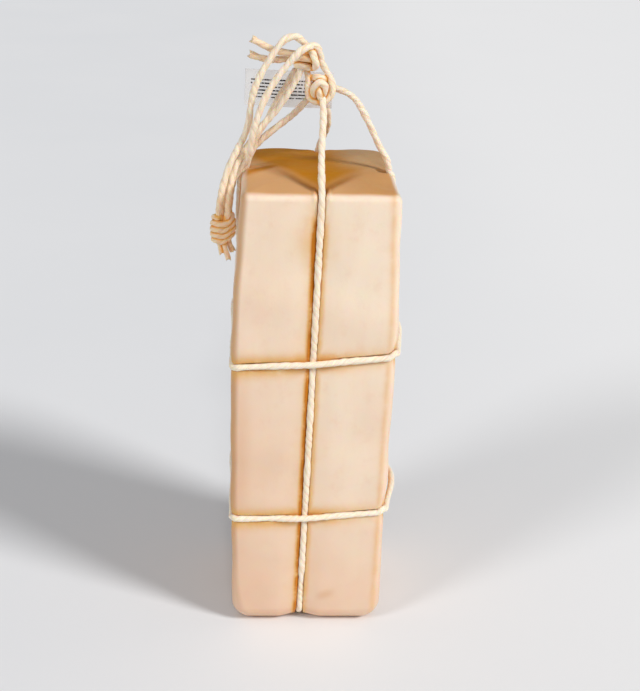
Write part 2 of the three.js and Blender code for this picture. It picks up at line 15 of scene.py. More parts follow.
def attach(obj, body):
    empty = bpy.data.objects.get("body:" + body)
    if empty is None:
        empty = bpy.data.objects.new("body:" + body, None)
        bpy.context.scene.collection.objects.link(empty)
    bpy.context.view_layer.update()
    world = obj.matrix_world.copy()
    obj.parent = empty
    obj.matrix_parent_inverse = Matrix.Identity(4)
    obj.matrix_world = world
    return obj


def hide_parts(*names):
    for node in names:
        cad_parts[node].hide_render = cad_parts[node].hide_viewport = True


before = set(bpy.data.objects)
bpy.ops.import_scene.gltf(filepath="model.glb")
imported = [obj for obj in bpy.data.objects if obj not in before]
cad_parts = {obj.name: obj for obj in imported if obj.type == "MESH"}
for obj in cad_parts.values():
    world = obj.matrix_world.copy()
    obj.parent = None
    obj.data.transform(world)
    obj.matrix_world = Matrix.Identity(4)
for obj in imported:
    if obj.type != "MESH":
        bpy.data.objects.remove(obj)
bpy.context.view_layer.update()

# %% [markdown]
# The CAD program counts millimetres from the middle of the block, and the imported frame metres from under
# the middle of the whole object. Shapes are easier to read in millimetres, so one function turns them
# into metres at the very end.

# %% Units
BALANCE = -2.6  # shift of the whole object in x
MM = 0.001


def to_metres(points):
    """Millimetres about the block to metres in the shared frame: a shift in x, then a thousandth."""
    return (np.asarray(points, float) + (BALANCE, 0, 0)) * MM


def add_object(name, data):
    """A Blender object for a mesh, a camera or a lamp, put into the scene."""
    made = bpy.data.objects.new(name, data)
    bpy.context.scene.collection.objects.link(made)
    return made


# %% [markdown]
# ## Camera
# The photograph looks down on the cheese from a little to its left. A camera could be placed by eye, but
# a few measured edges of the block settle it better: the point that it aims at, how far away it stands,
# and three angles. Blender's lens is in millimetres on a sensor 36 mm high, so the focal length in pixels
# is scaled to it.

# %% Camera
AIM = (6.1, -0.4, 203.9)
DISTANCE = 877.9
PITCH = math.radians(24.02)
HEADING = math.radians(3.21)
ROLL = math.radians(1.975)
FOCAL_PIXELS = 1200
IMAGE_HEIGHT = 691
SENSOR = 36

turn = Matrix.Rotation(-HEADING, 4, "Z")
tip = Matrix.Rotation(math.pi / 2 - PITCH, 4, "X")
camera = add_object("camera", bpy.data.cameras.new("camera"))
camera.matrix_world = turn @ tip @ Matrix.Rotation(ROLL, 4, "Z")
backwards = camera.matrix_world.col[2].to_3d()
camera.location = Vector(to_metres(AIM)) + backwards * DISTANCE * MM
camera.data.sensor_width = SENSOR
camera.data.lens = SENSOR * FOCAL_PIXELS / IMAGE_HEIGHT
bpy.context.scene.camera = camera
print("camera at", np.round(camera.location, 4).tolist(), "lens", round(camera.data.lens, 2))

# %% [markdown]
# ## From a grid to a mesh
# Nearly everything here is a tube: rows of points that close round on themselves, with a single point, or
# pole, at either end. Twine is a long thin tube, and the cheese is a fat short one. Blender takes such a
# mesh fastest as whole arrays. Until then a surface is a dictionary, so that several can be joined.

# %% Tubes


def closed_rows(rows, columns):
    """Corner numbers of the quads between rows that close round. They face outwards when the columns go
    counter-clockwise about the way in which the rows follow each other."""
    here = np.arange(columns)
    after = (here + 1) % columns
    start = columns * np.arange(rows - 1)[:, None]
    quads = np.stack([start + here, start + after, start + after + columns, start + here + columns], axis=2)
    return quads.reshape(-1, 4)


def tube(grid, poles, lengths, values):
    """A closed tube from a grid of rows and columns of points and its two poles. Lengths say how far along
    each row lies, for the second texture coordinate, and values are numbers for every point."""
    rows, columns = grid.shape[:2]
    here = np.arange(columns)
    after = (here + 1) % columns
    last = columns * (rows - 1)
    pole = np.full(columns, rows * columns)
    fans = [np.stack([pole, after, here], axis=1), np.stack([pole + 1, last + here, last + after], axis=1)]
    u = np.stack([here, here + 1, here + 1, here], axis=1) / columns
    v = np.stack([lengths[:-1], lengths[:-1], lengths[1:], lengths[1:]], axis=1)
    quad_uv = np.stack([np.tile(u, (rows - 1, 1)), np.repeat(v, columns, axis=0)], axis=2)
    fan_u = np.stack([here + 0.5, here + 1, here], axis=1) / columns
    fan_uv = [
        np.stack([fan_u, np.full_like(fan_u, lengths[0])], axis=2),
        np.stack([fan_u[:, [0, 2, 1]], np.full_like(fan_u, lengths[-1])], axis=2),
    ]
    return {
        "points": np.concatenate([grid.reshape(-1, 3), poles]),
        "quads": closed_rows(rows, columns),
        "fans": np.concatenate(fans),
        "quad_uv": quad_uv.reshape(-1, 2),
        "fan_uv": np.concatenate(fan_uv).reshape(-1, 2),
        "values": {name: np.append(field, [field[0, 0], field[-1, 0]]) for name, field in values.items()},
    }


def joined(surfaces):
    """Several surfaces as one: points stacked, and corner numbers moved on by the points before them."""
    counts = [len(surface["points"]) for surface in surfaces]
    starts = np.append(0, np.cumsum(counts)[:-1])
    names = surfaces[0]["values"]
    whole = {key: np.concatenate([s[key] for s in surfaces]) for key in ("points", "quad_uv", "fan_uv")}
    for key in ("quads", "fans"):
        whole[key] = np.concatenate([s[key] + start for s, start in zip(surfaces, starts)])
    whole["values"] = {name: np.concatenate([s["values"][name] for s in surfaces]) for name in names}
    return whole


# %% Pieces


def add_piece(name, surface, material, node):
    """A piece at the origin, riding on the one body, in place of a CAD node. Its mesh is filled by whole
    arrays: points, corners, faces, texture places and values."""
    points, quads, fans = surface["points"], surface["quads"], surface["fans"]
    corners = np.concatenate([quads.ravel(), fans.ravel()]).astype(np.int32)
    starts = np.concatenate([4 * np.arange(len(quads)), quads.size + 3 * np.arange(len(fans))])
    places = np.concatenate([surface["quad_uv"], surface["fan_uv"]])
    mesh = bpy.data.meshes.new(name)
    mesh.vertices.add(len(points))
    mesh.vertices.foreach_set("co", to_metres(points).ravel())
    mesh.loops.add(len(corners))
    mesh.loops.foreach_set("vertex_index", corners)
    mesh.polygons.add(len(starts))
    mesh.polygons.foreach_set("loop_start", starts.astype(np.int32))
    mesh.polygons.foreach_set("use_smooth", np.ones(len(starts), bool))
    mesh.uv_layers.new(name="UVMap").uv.foreach_set("vector", places.ravel())
    for label, field in surface["values"].items():
        mesh.attributes.new(label, "FLOAT", "POINT").data.foreach_set("value", field.astype(np.float32))
    mesh.update(calc_edges=True)
    mesh.validate()
    mesh.materials.append(material)
    piece = add_object(name, mesh)
    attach(piece, "root")
    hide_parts(node)
    print(name, "has", 2 * len(quads) + len(fans), "triangles")
    return piece


# %% [markdown]
# ## Twine finish
# The twine is a soft natural fibre: cream and straw on its plies, with browner straw painted as shade in the
# furrow between them, and orange where it has soaked up oil, with more orange painted as shade inside the
# knots, in the crevices between strands and on the side against the cheese. A picture of twine could be
# wrapped round it, but noise drawn out along the twine gives fibres at any scale. The furrow and the oil are
# values that the mesh carries, because the material can't see the shape. A class keeps the making of nodes
# short.

# %% Material helpers


def colour(red, green, blue):
    """A screen colour from 0 to 255 as Blender's linear light: the sRGB curve undone."""
    share = np.array([red, green, blue]) / 255
    linear = np.where(share <= 0.04045, share / 12.92, ((share + 0.055) / 1.055) ** 2.4)
    return (*linear.tolist(), 1.0)


class Finish:
    """A node material round one Principled shader. A method that makes a node gives back its output."""

    def __init__(self, name):
        self.material = bpy.data.materials.new(name)
        self.material.use_nodes = True
        self.tree = self.material.node_tree

    def fill(self, node, inputs):
        """Sets inputs: an output is linked, and a number or a colour becomes the socket's own value."""
        for name, value in inputs.items():
            if isinstance(value, bpy.types.NodeSocket):
                self.tree.links.new(value, node.inputs[name])
            else:
                node.inputs[name].default_value = value

    def add(self, kind, output, inputs, **settings):
        """A shader node with inputs and settings."""
        node = self.tree.nodes.new("ShaderNode" + kind)
        for name, value in settings.items():
            setattr(node, name, value)
        self.fill(node, inputs)
        return node.outputs[output]

    def place(self, kind):
        """Where a point lies, as Object coordinates in metres or as UV."""
        return self.add("TexCoord", kind, {})

    def scaled(self, place, scale):
        """A place with each axis scaled."""
        return self.add("Mapping", "Vector", {"Vector": place, "Scale": scale})

    def value(self, name):
        """A number that the mesh carries at every point."""
        return self.add("Attribute", "Fac", {}, attribute_name=name)

    def noise(self, place, scale, detail=3, roughness=0.5):
        """A noise pattern from 0 to 1."""
        inputs = {"Vector": place, "Scale": scale, "Detail": detail, "Roughness": roughness}
        return self.add("TexNoise", "Fac", inputs)

    def calculate(self, operation, *values):
        """One step of arithmetic, such as ADD, on numbers or outputs."""
        return self.add("Math", "Value", dict(enumerate(values)), operation=operation)

    def ease(self, value, low, high, top=1):
        """Climbs smoothly from 0 to top as a value goes from low to high."""
        limits = {"Value": value, "From Min": low, "From Max": high, "To Max": top}
        return self.add("MapRange", "Result", limits, interpolation_type="SMOOTHSTEP")

    def layers(self, base, *coats):
        """A base colour under coats, each mixed in by a share from 0 to 1."""
        for share, tint in coats:
            base = self.add("Mix", 2, {0: share, 6: base, 7: tint}, data_type="RGBA")
        return base

    def bump(self, height, strength, distance):
        """Normals that lean as if a height stood out by a distance in metres."""
        return self.add("Bump", "Normal", {"Height": height, "Strength": strength, "Distance": distance})

    def shade(self, inputs):
        """Sets the shader's inputs and gives back the finished material."""
        self.fill(self.tree.nodes["Principled BSDF"], inputs)
        print(self.material.name, "finish has", len(self.tree.nodes), "nodes")
        return self.material


# %% Twine material
TWINE_CREAM = colour(253, 241, 221)
TWINE_STRAW = colour(244, 218, 184)
# browner straw painted as shade in the furrow between the plies
TWINE_FURROW_SHADE = colour(214, 162, 100)
# orange of oil, also used as painted shade in crevices and on the side against the cheese
TWINE_OILED_AND_SHADED = colour(248, 174, 50)
FIBRES = (26, 14, 1)  # streaks round the twine and in 100 mm along it


def twine_finish():
    """Cream and straw streaks along the plies, a slow change of tone, painted shade in the furrow, and
    orange oil, partly painted shade in the crevices and on the inner side.
    """
    twine = Finish("twine")
    streaks = twine.noise(twine.scaled(twine.place("UV"), FIBRES), 1, 4, 0.6)
    slow = twine.noise(twine.place("Object"), 55, 2)
    tone = twine.layers(
        TWINE_CREAM,
        (twine.ease(streaks, 0.42, 0.72), TWINE_STRAW),
        (twine.ease(slow, 0.5, 0.8, 0.55), TWINE_STRAW),
        (twine.ease(twine.value("furrow_shade"), 0.35, 1, 0.22), TWINE_FURROW_SHADE),
        (twine.ease(twine.value("oil_and_shade"), 0, 1, 0.85), TWINE_OILED_AND_SHADED),
    )
    return twine.shade({
        "Base Color": tone,
        "Normal": twine.bump(streaks, 0.5, 0.0004),
        "Roughness": 0.72,
        "Specular IOR Level": 0.25,
        "Sheen Weight": 0.15,
        "Subsurface Weight": 0.35,
        "Subsurface Radius": (1, 0.5, 0.18),
        "Subsurface Scale": 0.002,
    })


TWINE_FINISH = twine_finish()

# %% [markdown]
# ## Twine
# A twine's route is a short list of given points. A curve object with a round bevel would follow
# them, but it would be a smooth pipe. Real twine is two plies laid round each other, so a section of two
# overlapping circles is carried along the route and turned as it goes. The columns of the grid turn with
# it, so the furrows follow the mesh's own edges and stay crisp.

# %% Paths
SPAN_SAMPLES = 40
ROPE_SPACING = 0.7


def smooth_step(value, low, high):
    """0 below low, 1 above high, and a level-ended cubic between them."""
    share = np.clip((value - low) / (high - low), 0, 1)
    return share * share * (3 - 2 * share)


def travelled(chain):
    """How far along a chain of points each of them lies."""
    return np.append(0, np.cumsum(np.linalg.norm(np.diff(chain, axis=0), axis=1)))


def places_along(chain, lengths):
    """Points at lengths along a chain, on the straight lines between its own."""
    return np.stack([np.interp(lengths, travelled(chain), column) for column in chain.T], axis=1)


def smooth_path(points):
    """Even steps along a smooth curve through points: a Catmull-Rom spline whose spans take times that are
    the roots of their lengths, so that it doesn't overshoot, measured along itself and sampled again."""
    p = np.asarray(points, float)
    p = np.vstack([2 * p[0] - p[1], p, 2 * p[-1] - p[-2]])
    times = np.sqrt(np.linalg.norm(np.diff(p, axis=0), axis=1))[:, None]
    before, during, after = times[:-2], times[1:-1], times[2:]
    first, start, stop, last = p[:-3], p[1:-2], p[2:-1], p[3:]
    straight = (stop - start) / during
    leaving = during * ((start - first) / before - (stop - first) / (before + during) + straight)
    arriving = during * (straight - (last - start) / (during + after) + (last - stop) / after)
    u = np.linspace(0, 1, SPAN_SAMPLES, endpoint=False)[:, None, None]
    rise = u * u * (3 - 2 * u)
    dense = start + (stop - start) * rise + leaving * u * (1 - u) ** 2 - arriving * u * u * (1 - u)
    dense = np.vstack([dense.transpose(1, 0, 2).reshape(-1, 3), p[-2]])
    whole = travelled(dense)[-1]
    even = np.linspace(0, whole, int(whole / ROPE_SPACING) + 2)
    return places_along(dense, even), even


def frames_along(path):
    """The way ahead and two ways square to it at each point. The first of them leans on one fixed
    direction, the one that the path runs along least, so it doesn't spin."""
    ahead = np.gradient(path, axis=0)
    ahead /= np.linalg.norm(ahead, axis=1, keepdims=True)
    fixed = np.linalg.eigh(ahead.T @ ahead)[1][:, 0]
    fixed *= np.sign(fixed[np.argmax(np.abs(fixed))])
    side = fixed - (ahead @ fixed)[:, None] * ahead
    side /= np.linalg.norm(side, axis=1, keepdims=True)
    return ahead, side, np.cross(ahead, side)


# %% Rope
TWINE = 4.7  # diameter
RADIUS = TWINE / 2
LAY = 17  # length of one full turn of the plies, which go round like the middle stroke of an S
PLY_SHIFT = 0.07  # of each ply's middle from the twine's, as a share of the diameter
ROPE_COLUMNS = 28
FIBRE_RIDGES = (7, 11)  # ridges round the twine
RIDGE_HEIGHT = 0.022  # as a share of the radius
UNEVEN_SIZE = 0.06
UNEVEN_TWIST = 1.3
SIZE_WAVES = (12, 50)  # lengths of the waves of its size
LUMP_WAVES = (4, 9)  # of its lumps
TWIST_WAVES = (25, 70)  # of its twist
RIDGE_WAVES = (8, 30)  # and of the drift of its ridges
FRAY_OPENING = 0.08  # how much a frayed end widens
FRAY_RAGGED = 0.7  # how unevenly it is cut, in millimetres
END_START = 0.1  # how far along a rounded end its first row lies
UV_LENGTH = 100  # millimetres along the twine for one unit of the second texture coordinate
OIL_FADE = 6  # height over which the oil and painted shade die away on twine that leaves the cheese
CREVICE = 2  # gap between two stretches of twine in a knot within which oil and painted shade gather
FAR_APART = 1000  # more than any length of twine in a knot, or the square of a gap where oil and painted shade gather


def waves(along, seed, shortest, longest, count=5):
    """Seeded unevenness along a length: a sum of sine waves, mostly between -1 and 1."""
    random = np.random.default_rng(seed)
    lengths = random.uniform(shortest, longest, count)
    starts = random.uniform(0, 2 * math.pi, count)
    return np.sin(2 * math.pi * along[:, None] / lengths + starts).sum(axis=1) / math.sqrt(count)


def inner_shade_and_oil(path, outward, below):
    """How much of the twine's surface faces the upright axis of the block, and is lower than a height: oil
    and painted shade on the side against the cheese.
    """
    level = path * (1, 1, 0)
    level /= np.maximum(np.linalg.norm(level, axis=1, keepdims=True), 1)
    inwards = -np.einsum("rci,ri->rc", outward, level)
    held = 1 - smooth_step(path[:, 2], below - OIL_FADE, below)
    return smooth_step(inwards, -0.5, 0.7) * held[:, None]


def crevice_shade_and_oil(surface, routes):
    """Oil and painted shade in the crevices of ropes joined in the order of their routes: 1 where a point
    touches another stretch of twine, 0 where it is a gap away. Stretches are others when far apart along the
    twine."""
    paths = [smooth_path(route) for route in routes]
    lengths = [FAR_APART * n + along for n, (_, along) in enumerate(paths)]
    own = [np.append(np.repeat(length, ROPE_COLUMNS), length[[0, -1]]) for length in lengths]
    middles = np.concatenate([path for path, _ in paths])
    points = surface["points"]
    squares = (points ** 2).sum(axis=1)[:, None] + (middles ** 2).sum(axis=1) - 2 * points @ middles.T
    squares[np.abs(np.concatenate(own)[:, None] - np.concatenate(lengths)) < 3 * TWINE] = FAR_APART
    gap = np.sqrt(np.clip(squares.min(axis=1), 0, None)) - RADIUS
    return 1 - smooth_step(gap, 0, CREVICE)


def rope(points, seed, thickness=TWINE, frayed=0, shaded_and_oiled_below=0, soaked=0, shift=PLY_SHIFT, lumps=0):
    """Two-ply twine along points. In a direction a from the plies' line, the outline of two circles of
    radius r whose middles lie c to either side is at c |cos a| + sqrt(r² - c² sin² a). It is turned by the
    lay as it goes along, made uneven by waves, rounded off at its ends, and opened and cut raggedly over a
    frayed last stretch. Some oil has soaked all of it, and the side that lies on the cheese is more orange,
    partly from oil and partly as painted shade."""
    path, along = smooth_path(points)
    ahead, side, across = frames_along(path)
    ply = 2 * math.pi * np.arange(ROPE_COLUMNS) / ROPE_COLUMNS - math.pi / 2
    section = shift * np.abs(np.cos(ply)) + np.sqrt((0.5 - shift) ** 2 - (shift * np.sin(ply)) ** 2)
    swelling = UNEVEN_SIZE * waves(along, seed, *SIZE_WAVES) + lumps * waves(along, seed + 3, *LUMP_WAVES)
    twist = UNEVEN_TWIST * waves(along, seed + 1, *TWIST_WAVES) - 2 * math.pi * along / LAY + seed
    few, many = FIBRE_RIDGES
    drift = waves(along, seed + 2, *RIDGE_WAVES)[:, None]
    ridges = 1 + RIDGE_HEIGHT * (np.sin(few * ply + drift) + np.sin(many * ply - 2 * drift))
    left = along[-1] - along
    opened = np.clip(1 - left / frayed, 0, 1) ** 2 if frayed else 0 * along
    nearest = np.minimum(along, along[-1] if frayed else left) + END_START
    rounded = np.sqrt(1 - np.clip(1 - nearest / (thickness / 2), 0, 1) ** 2)
    size = thickness * (1 + swelling) * rounded * (1 + FRAY_OPENING * opened)
    reach = size[:, None] * section * ridges
    angle = ply + twist[:, None]
    outward = np.cos(angle)[..., None] * side[:, None] + np.sin(angle)[..., None] * across[:, None]
    ragged = FRAY_RAGGED * opened[:, None] * (np.sin(3 * ply + seed) + np.sin(5 * ply - seed))
    grid = path[:, None] + reach[..., None] * outward + ragged[..., None] * ahead[:, None]
    values = {
        # painted shade in the furrow between the plies
        "furrow_shade": np.broadcast_to(shift / PLY_SHIFT * np.abs(np.sin(ply)) ** 5, reach.shape),
        # oil, and painted shade on the side that faces the cheese
        "oil_and_shade": np.maximum(soaked, inner_shade_and_oil(path, outward, shaded_and_oiled_below)),
    }
    return tube(grid, path[[0, -1]], along / UV_LENGTH, values)


# %% [markdown]
# ## Hanging loop
# Four strands leave the main knot, come together at the block's back left edge and droop to a tail knot.
# They hang free, and the length of each route is printed: the photograph shows it all.

# %% Loop strands
LOOPS = {
    "loop_outer": [
        (-8.4, -5, 418.4), (-11.8, -6, 423), (-17.1, -7, 426.6), (-23, -8, 425.3), (-27.5, -9, 421.2),
        (-33.2, -10, 412.9), (-39.6, -11, 401.9), (-43.7, -12, 391.6), (-45.9, -12, 381),
        (-47, -11.5, 370.9), (-49.8, -11, 361.4), (-54, -13, 353.4), (-59, -15, 343.6),
        (-62.9, -17, 332.3), (-65.5, -19, 321), (-67, -19.5, 310),
    ],
    "loop_front": [
        (-5.3, -9, 421.1), (-10, -12, 420.6), (-14.5, -13.5, 417.9), (-22.8, -15, 409),
        (-31.7, -16, 396.6), (-36.8, -16.5, 386.8), (-40.9, -17, 376.2), (-43.6, -17.5, 366.9),
        (-45.3, -16.5, 358.5), (-46, -14, 351), (-47.9, -10.5, 344.7), (-52, -7.5, 339),
        (-55.9, -5.5, 332.4), (-58.2, -7, 324.6), (-59.4, -8.5, 316), (-60.2, -10, 308.5),
    ],
    "loop_inner": [
        (-12.1, -5, 407.9), (-14.6, -6, 401.5), (-20.9, -7, 390.4), (-29.3, -7.5, 377.6),
        (-37.2, -7.5, 368.3), (-43.1, -7, 360.3), (-48.4, -7.5, 352.8), (-53.1, -9.5, 345.6),
        (-57, -13, 336.8), (-59.2, -16, 326.5), (-60.5, -18, 316.8), (-61, -18.5, 309),
    ],
    "loop_back": [
        (-15.8, 1, 404.7), (-20.2, 2, 396.4), (-26, 2.5, 386.2), (-31.9, 2, 374.7), (-37.8, 1, 364.6),
        (-43.2, 0, 356.4), (-48.5, -1, 349), (-53.2, -1, 341.2), (-58.3, -0.5, 332.6),
        (-62, -3, 322.6), (-64.5, -7, 313.5), (-65.5, -9.5, 308),
    ],
}
LOOSE_ENDS = {
    "loose_end_upper": [
        (-14, -1.5, 413.8), (-21.3, -1, 414.8), (-29.9, 0, 416), (-37.2, 0, 419.1), (-45.1, -1, 423.3),
    ],
    "loose_end_lower": [
        (-13, 3.6, 410), (-20.5, 4.6, 410.1), (-29.7, 4.8, 409.2), (-39.1, 4.5, 410.1), (-46.7, 4, 412.6),
    ],
}
FRAYED_END = 5
LOOP_SOAKED = 0.1  # share of oil in the strands
END_SOAKED = 0.32  # in the loose ends
TAIL_SOAKED = 0.4  # and in the tail knot
TAIL_SOAKED_LEVELS = (310, 345)  # heights between which the strands pass from one to the other

strands = {}
for number, (node, route) in enumerate(LOOPS.items()):
    surface = rope(route, 10 * number)
    near_tail = 1 - smooth_step(surface["points"][:, 2], *TAIL_SOAKED_LEVELS)
    surface["values"]["oil_and_shade"] = LOOP_SOAKED + (TAIL_SOAKED - LOOP_SOAKED) * near_tail
    strands[node] = add_piece(node + "_twine", surface, TWINE_FINISH, node)
for number, (node, route) in enumerate(LOOSE_ENDS.items()):
    surface = rope(route, 100 + 10 * number, frayed=FRAYED_END, soaked=END_SOAKED)
    strands[node] = add_piece(node + "_twine", surface, TWINE_FINISH, node)

# %% [markdown]
# ## Tail knot
# The loop ends in a barrel knot: a few wraps of twine, one above the other, round the strands that come
# down through it, and the cut ends below. The wraps are a helix, which a formula gives, and the whole is
# one mesh.

# %% Tail knot
TAIL_MIDDLE = np.array([-64.2, -14, 297.9])
TAIL_WRAPS = 4.3
TAIL_PITCH = 4
TAIL_RADIUS = 6.1  # of the wraps' own middle line
TAIL_START = math.radians(150)
TAIL_POINTS = 60
TAIL_LEAN = 0.16  # how much the wraps rise from the left to the right of the knot
TAIL_UNEVEN = 1.2  # how far the wraps wander
TAIL_WANDER_STEP = 0.9  # angle of that wave between two points
TAIL_BARREL = 0.2  # how much the wraps draw in at either end
TAIL_CORE = 0.45  # how far the strands inside stay from the axis, as a share of that where they enter
TAIL_OVERLAP = 0.4  # share of a loop strand's last span that its core repeats
TAIL_ENTRY = 3  # how far below the uppermost wrap a core has drawn in
TAIL_ENDS = [
    [(-65, -14, 294), (-66.4, -15, 291), (-66, -15, 285.5), (-64.6, -15.5, 280)],
    [(-62.5, -13, 294), (-61.4, -13, 291), (-59.8, -13, 286), (-57.6, -13.5, 281)],
    [(-63.5, -16, 294), (-63.4, -17, 290), (-62.2, -17.5, 283), (-60.2, -18, 276.5)],
]
TAIL_END_SIZE = 4
TAIL_FRAYED_END = 4


def helix(middle, radius, pitch, turns, start, points):
    """Points of a helix about an upright axis: round by the angle, up by the pitch for every turn."""
    share = np.linspace(0, 1, points)
    angle = start + 2 * math.pi * turns * share
    rise = pitch * turns * (share - 0.5)
    return middle + np.stack([radius * np.cos(angle), radius * np.sin(angle), rise], axis=1)


def tail_core(route, depth):
    """A strand that takes over where a loop strand ends, draws in and goes down through the knot."""
    end = np.array(route[-1])
    before = end + TAIL_OVERLAP * (np.array(route[-2]) - end)
    inside = TAIL_MIDDLE + TAIL_CORE * (end - TAIL_MIDDLE) * (1, 1, 0)
    return np.stack([before, end, inside + (0, 0, depth - TAIL_ENTRY), inside, inside - (0, 0, depth)])


def tail_knot():
    """A helix of wraps drawn in at its ends, which lean and wander a little, the four strands down its
    middle, and three cut ends below, with oil and painted shade in the crevices between them."""
    wraps = helix(TAIL_MIDDLE, TAIL_RADIUS, TAIL_PITCH, TAIL_WRAPS, TAIL_START, TAIL_POINTS)
    wander = TAIL_UNEVEN * np.sin(np.arange(TAIL_POINTS) * TAIL_WANDER_STEP)
    drawn = 1 - TAIL_BARREL * np.linspace(-1, 1, TAIL_POINTS) ** 2 + wander / TAIL_RADIUS
    wraps = TAIL_MIDDLE + (wraps - TAIL_MIDDLE) * np.stack([drawn, drawn, 0 * drawn + 1], axis=1)
    wraps[:, 2] += TAIL_LEAN * (wraps[:, 0] - TAIL_MIDDLE[0]) + wander[::-1]
    cores = [tail_core(route, TAIL_PITCH * TAIL_WRAPS / 2) for route in LOOPS.values()]
    parts = [rope(wraps, 203)]
    parts += [rope(core, 210 + n) for n, core in enumerate(cores)]
    parts += [rope(end, 220 + n, TAIL_END_SIZE, TAIL_FRAYED_END) for n, end in enumerate(TAIL_ENDS)]
    whole = joined(parts)
    whole["values"]["oil_and_shade"] = np.maximum(TAIL_SOAKED, crevice_shade_and_oil(whole, [wraps, *cores, *TAIL_ENDS]))
    return whole


knot_tail = add_piece("knot_tail_twine", tail_knot(), TWINE_FINISH, "knot_tail")


def declare_cord(piece, points):
    """Prints a free cord's length along its route."""
    path, along = smooth_path(points)
    print(piece.name, "is", round(along[-1], 1), "mm long")


for node, route in LOOPS.items():
    declare_cord(strands[node], route)
for node, route in LOOSE_ENDS.items():
    declare_cord(strands[node], route)

# %% [markdown]
# ## Form of the block
# The cheese is a block with round upright edges, a slight barrel, and valleys where the twine presses into
# it. The twine round it follows the same form, so the form comes before both. A place on it is a side, how
# far along that side, and a row: a height, an inset and tilt on the rounded edges, and a scale towards the
# middle on the ends.

# %% Block sizes
WIDTH = 110
DEPTH = 118
HEIGHT = 336
BARREL = 2.6  # how far the front and the back stand out at mid height
SIDE_BARREL = 1.2  # and the left and right sides
BOW = 1.4  # how far the middle stands out to the left at mid height
SWELL = 0.9  # how far all sides swell above the upper ring
SWELL_LEVEL = 252
SWELL_HALF = 50
TAPER = 3  # how far the left and right sides draw in at the top
TAPER_START = 0.6
LEAN = 2  # sideways shift of the top against the base
CROWN = 2  # rise of the middle of the top
CORNERS_LOW = np.array([15, 15, 20, 20])  # radii of the upright edges at the base, from the front left on
CORNERS_BODY = np.array([6, 6, 16, 16])  # at mid height
CORNERS_TOP = np.array([6, 6, 14, 21])  # and at the top
CORNER_BLENDS = np.array([45, 45, 70, 70])  # heights over which they change
LOW_FILLET = 14
TOP_FILLET = 5.5
BASE_MIDDLE = -5  # x of the point under the base where the cords cross
STRAIGHT = 0.7  # share of a side's half that is straight

# The sides go counter-clockwise from the front.
FRONT, RIGHT, BACK, LEFT = range(4)
OUT = np.array([(0, -1), (1, 0), (0, 1), (-1, 0)])
ALONG = np.array([(1, 0), (0, 1), (-1, 0), (0, -1)])
LINE_LOW = np.array([-5, 0, 3, 0])  # distance of each upright cord from the side's middle at the base
LINE_TOP = np.array([0, 2, -2, -3])  # and at the top
QUARTER = math.pi / 2


def bell(share):
    """A rounded hump of height 1 that ends level at a share of 1 to either side."""
    return np.clip(1 - share * share, 0, None) ** 2


def hill(distance, reach, power=2):
    """1 at a distance of 0, falling off as the exponential of an even power of distance over reach."""
    return np.exp(-((distance / reach) ** power))


# %% Rows and places


def rows_of(z, inset=0, tilt=0, scale=1):
    """Rows of heights, insets, tilts and scales. Heights alone are rows on the sides."""
    return np.stack(np.broadcast_arrays(z, inset, tilt, scale), axis=-1).astype(float)


def fillet_rows(turns):
    """Rows on the rounded edges: a quarter circle down to the base for turns below 0, up above 0."""
    tilt = QUARTER * np.asarray(turns, float)
    radius = np.where(tilt < 0, LOW_FILLET, TOP_FILLET)
    level = np.where(tilt < 0, LOW_FILLET, HEIGHT - TOP_FILLET)
    return rows_of(level + radius * np.sin(tilt), radius * (1 - np.cos(tilt)), tilt)


def end_rows(scales, top):
    """Rows on the base or the top, drawn towards its middle by a scale."""
    inset, tilt = (TOP_FILLET, QUARTER) if top else (LOW_FILLET, -QUARTER)
    return rows_of(HEIGHT * top, inset, tilt, scales)


def bow(z):
    """How far the middle stands out to the left at heights: half a sine wave up the block."""
    return BOW * np.sin(math.pi * z / HEIGHT)


def plan(z):
    """Half sizes and sideways middle of the block at heights: half a sine wave for the barrel, a bell for
    the swelling above the upper ring, and a square law for the draw at the top."""
    share = z / HEIGHT
    wave = np.sin(math.pi * share)
    swell = SWELL * bell((z - SWELL_LEVEL) / SWELL_HALF)
    drawn = TAPER * np.clip((share - TAPER_START) / (1 - TAPER_START), 0, 1) ** 2
    middle = LEAN * (share - 0.5) - bow(z)
    return WIDTH / 2 + SIDE_BARREL * wave + swell - drawn, DEPTH / 2 + BARREL * wave + swell, middle


def edge_radius(side, place, z):
    """Radius of the upright edge that a place lies towards: square laws from mid height to the ends."""
    edge = np.where(place > 0, side + 1, side) % 4
    top = np.clip(1 - (HEIGHT - z) / CORNER_BLENDS[edge], 0, 1) ** 2
    low = np.clip(1 - z / CORNER_BLENDS[edge], 0, 1) ** 2
    body = CORNERS_BODY[edge]
    return body + (CORNERS_TOP[edge] - body) * top + (CORNERS_LOW[edge] - body) * low


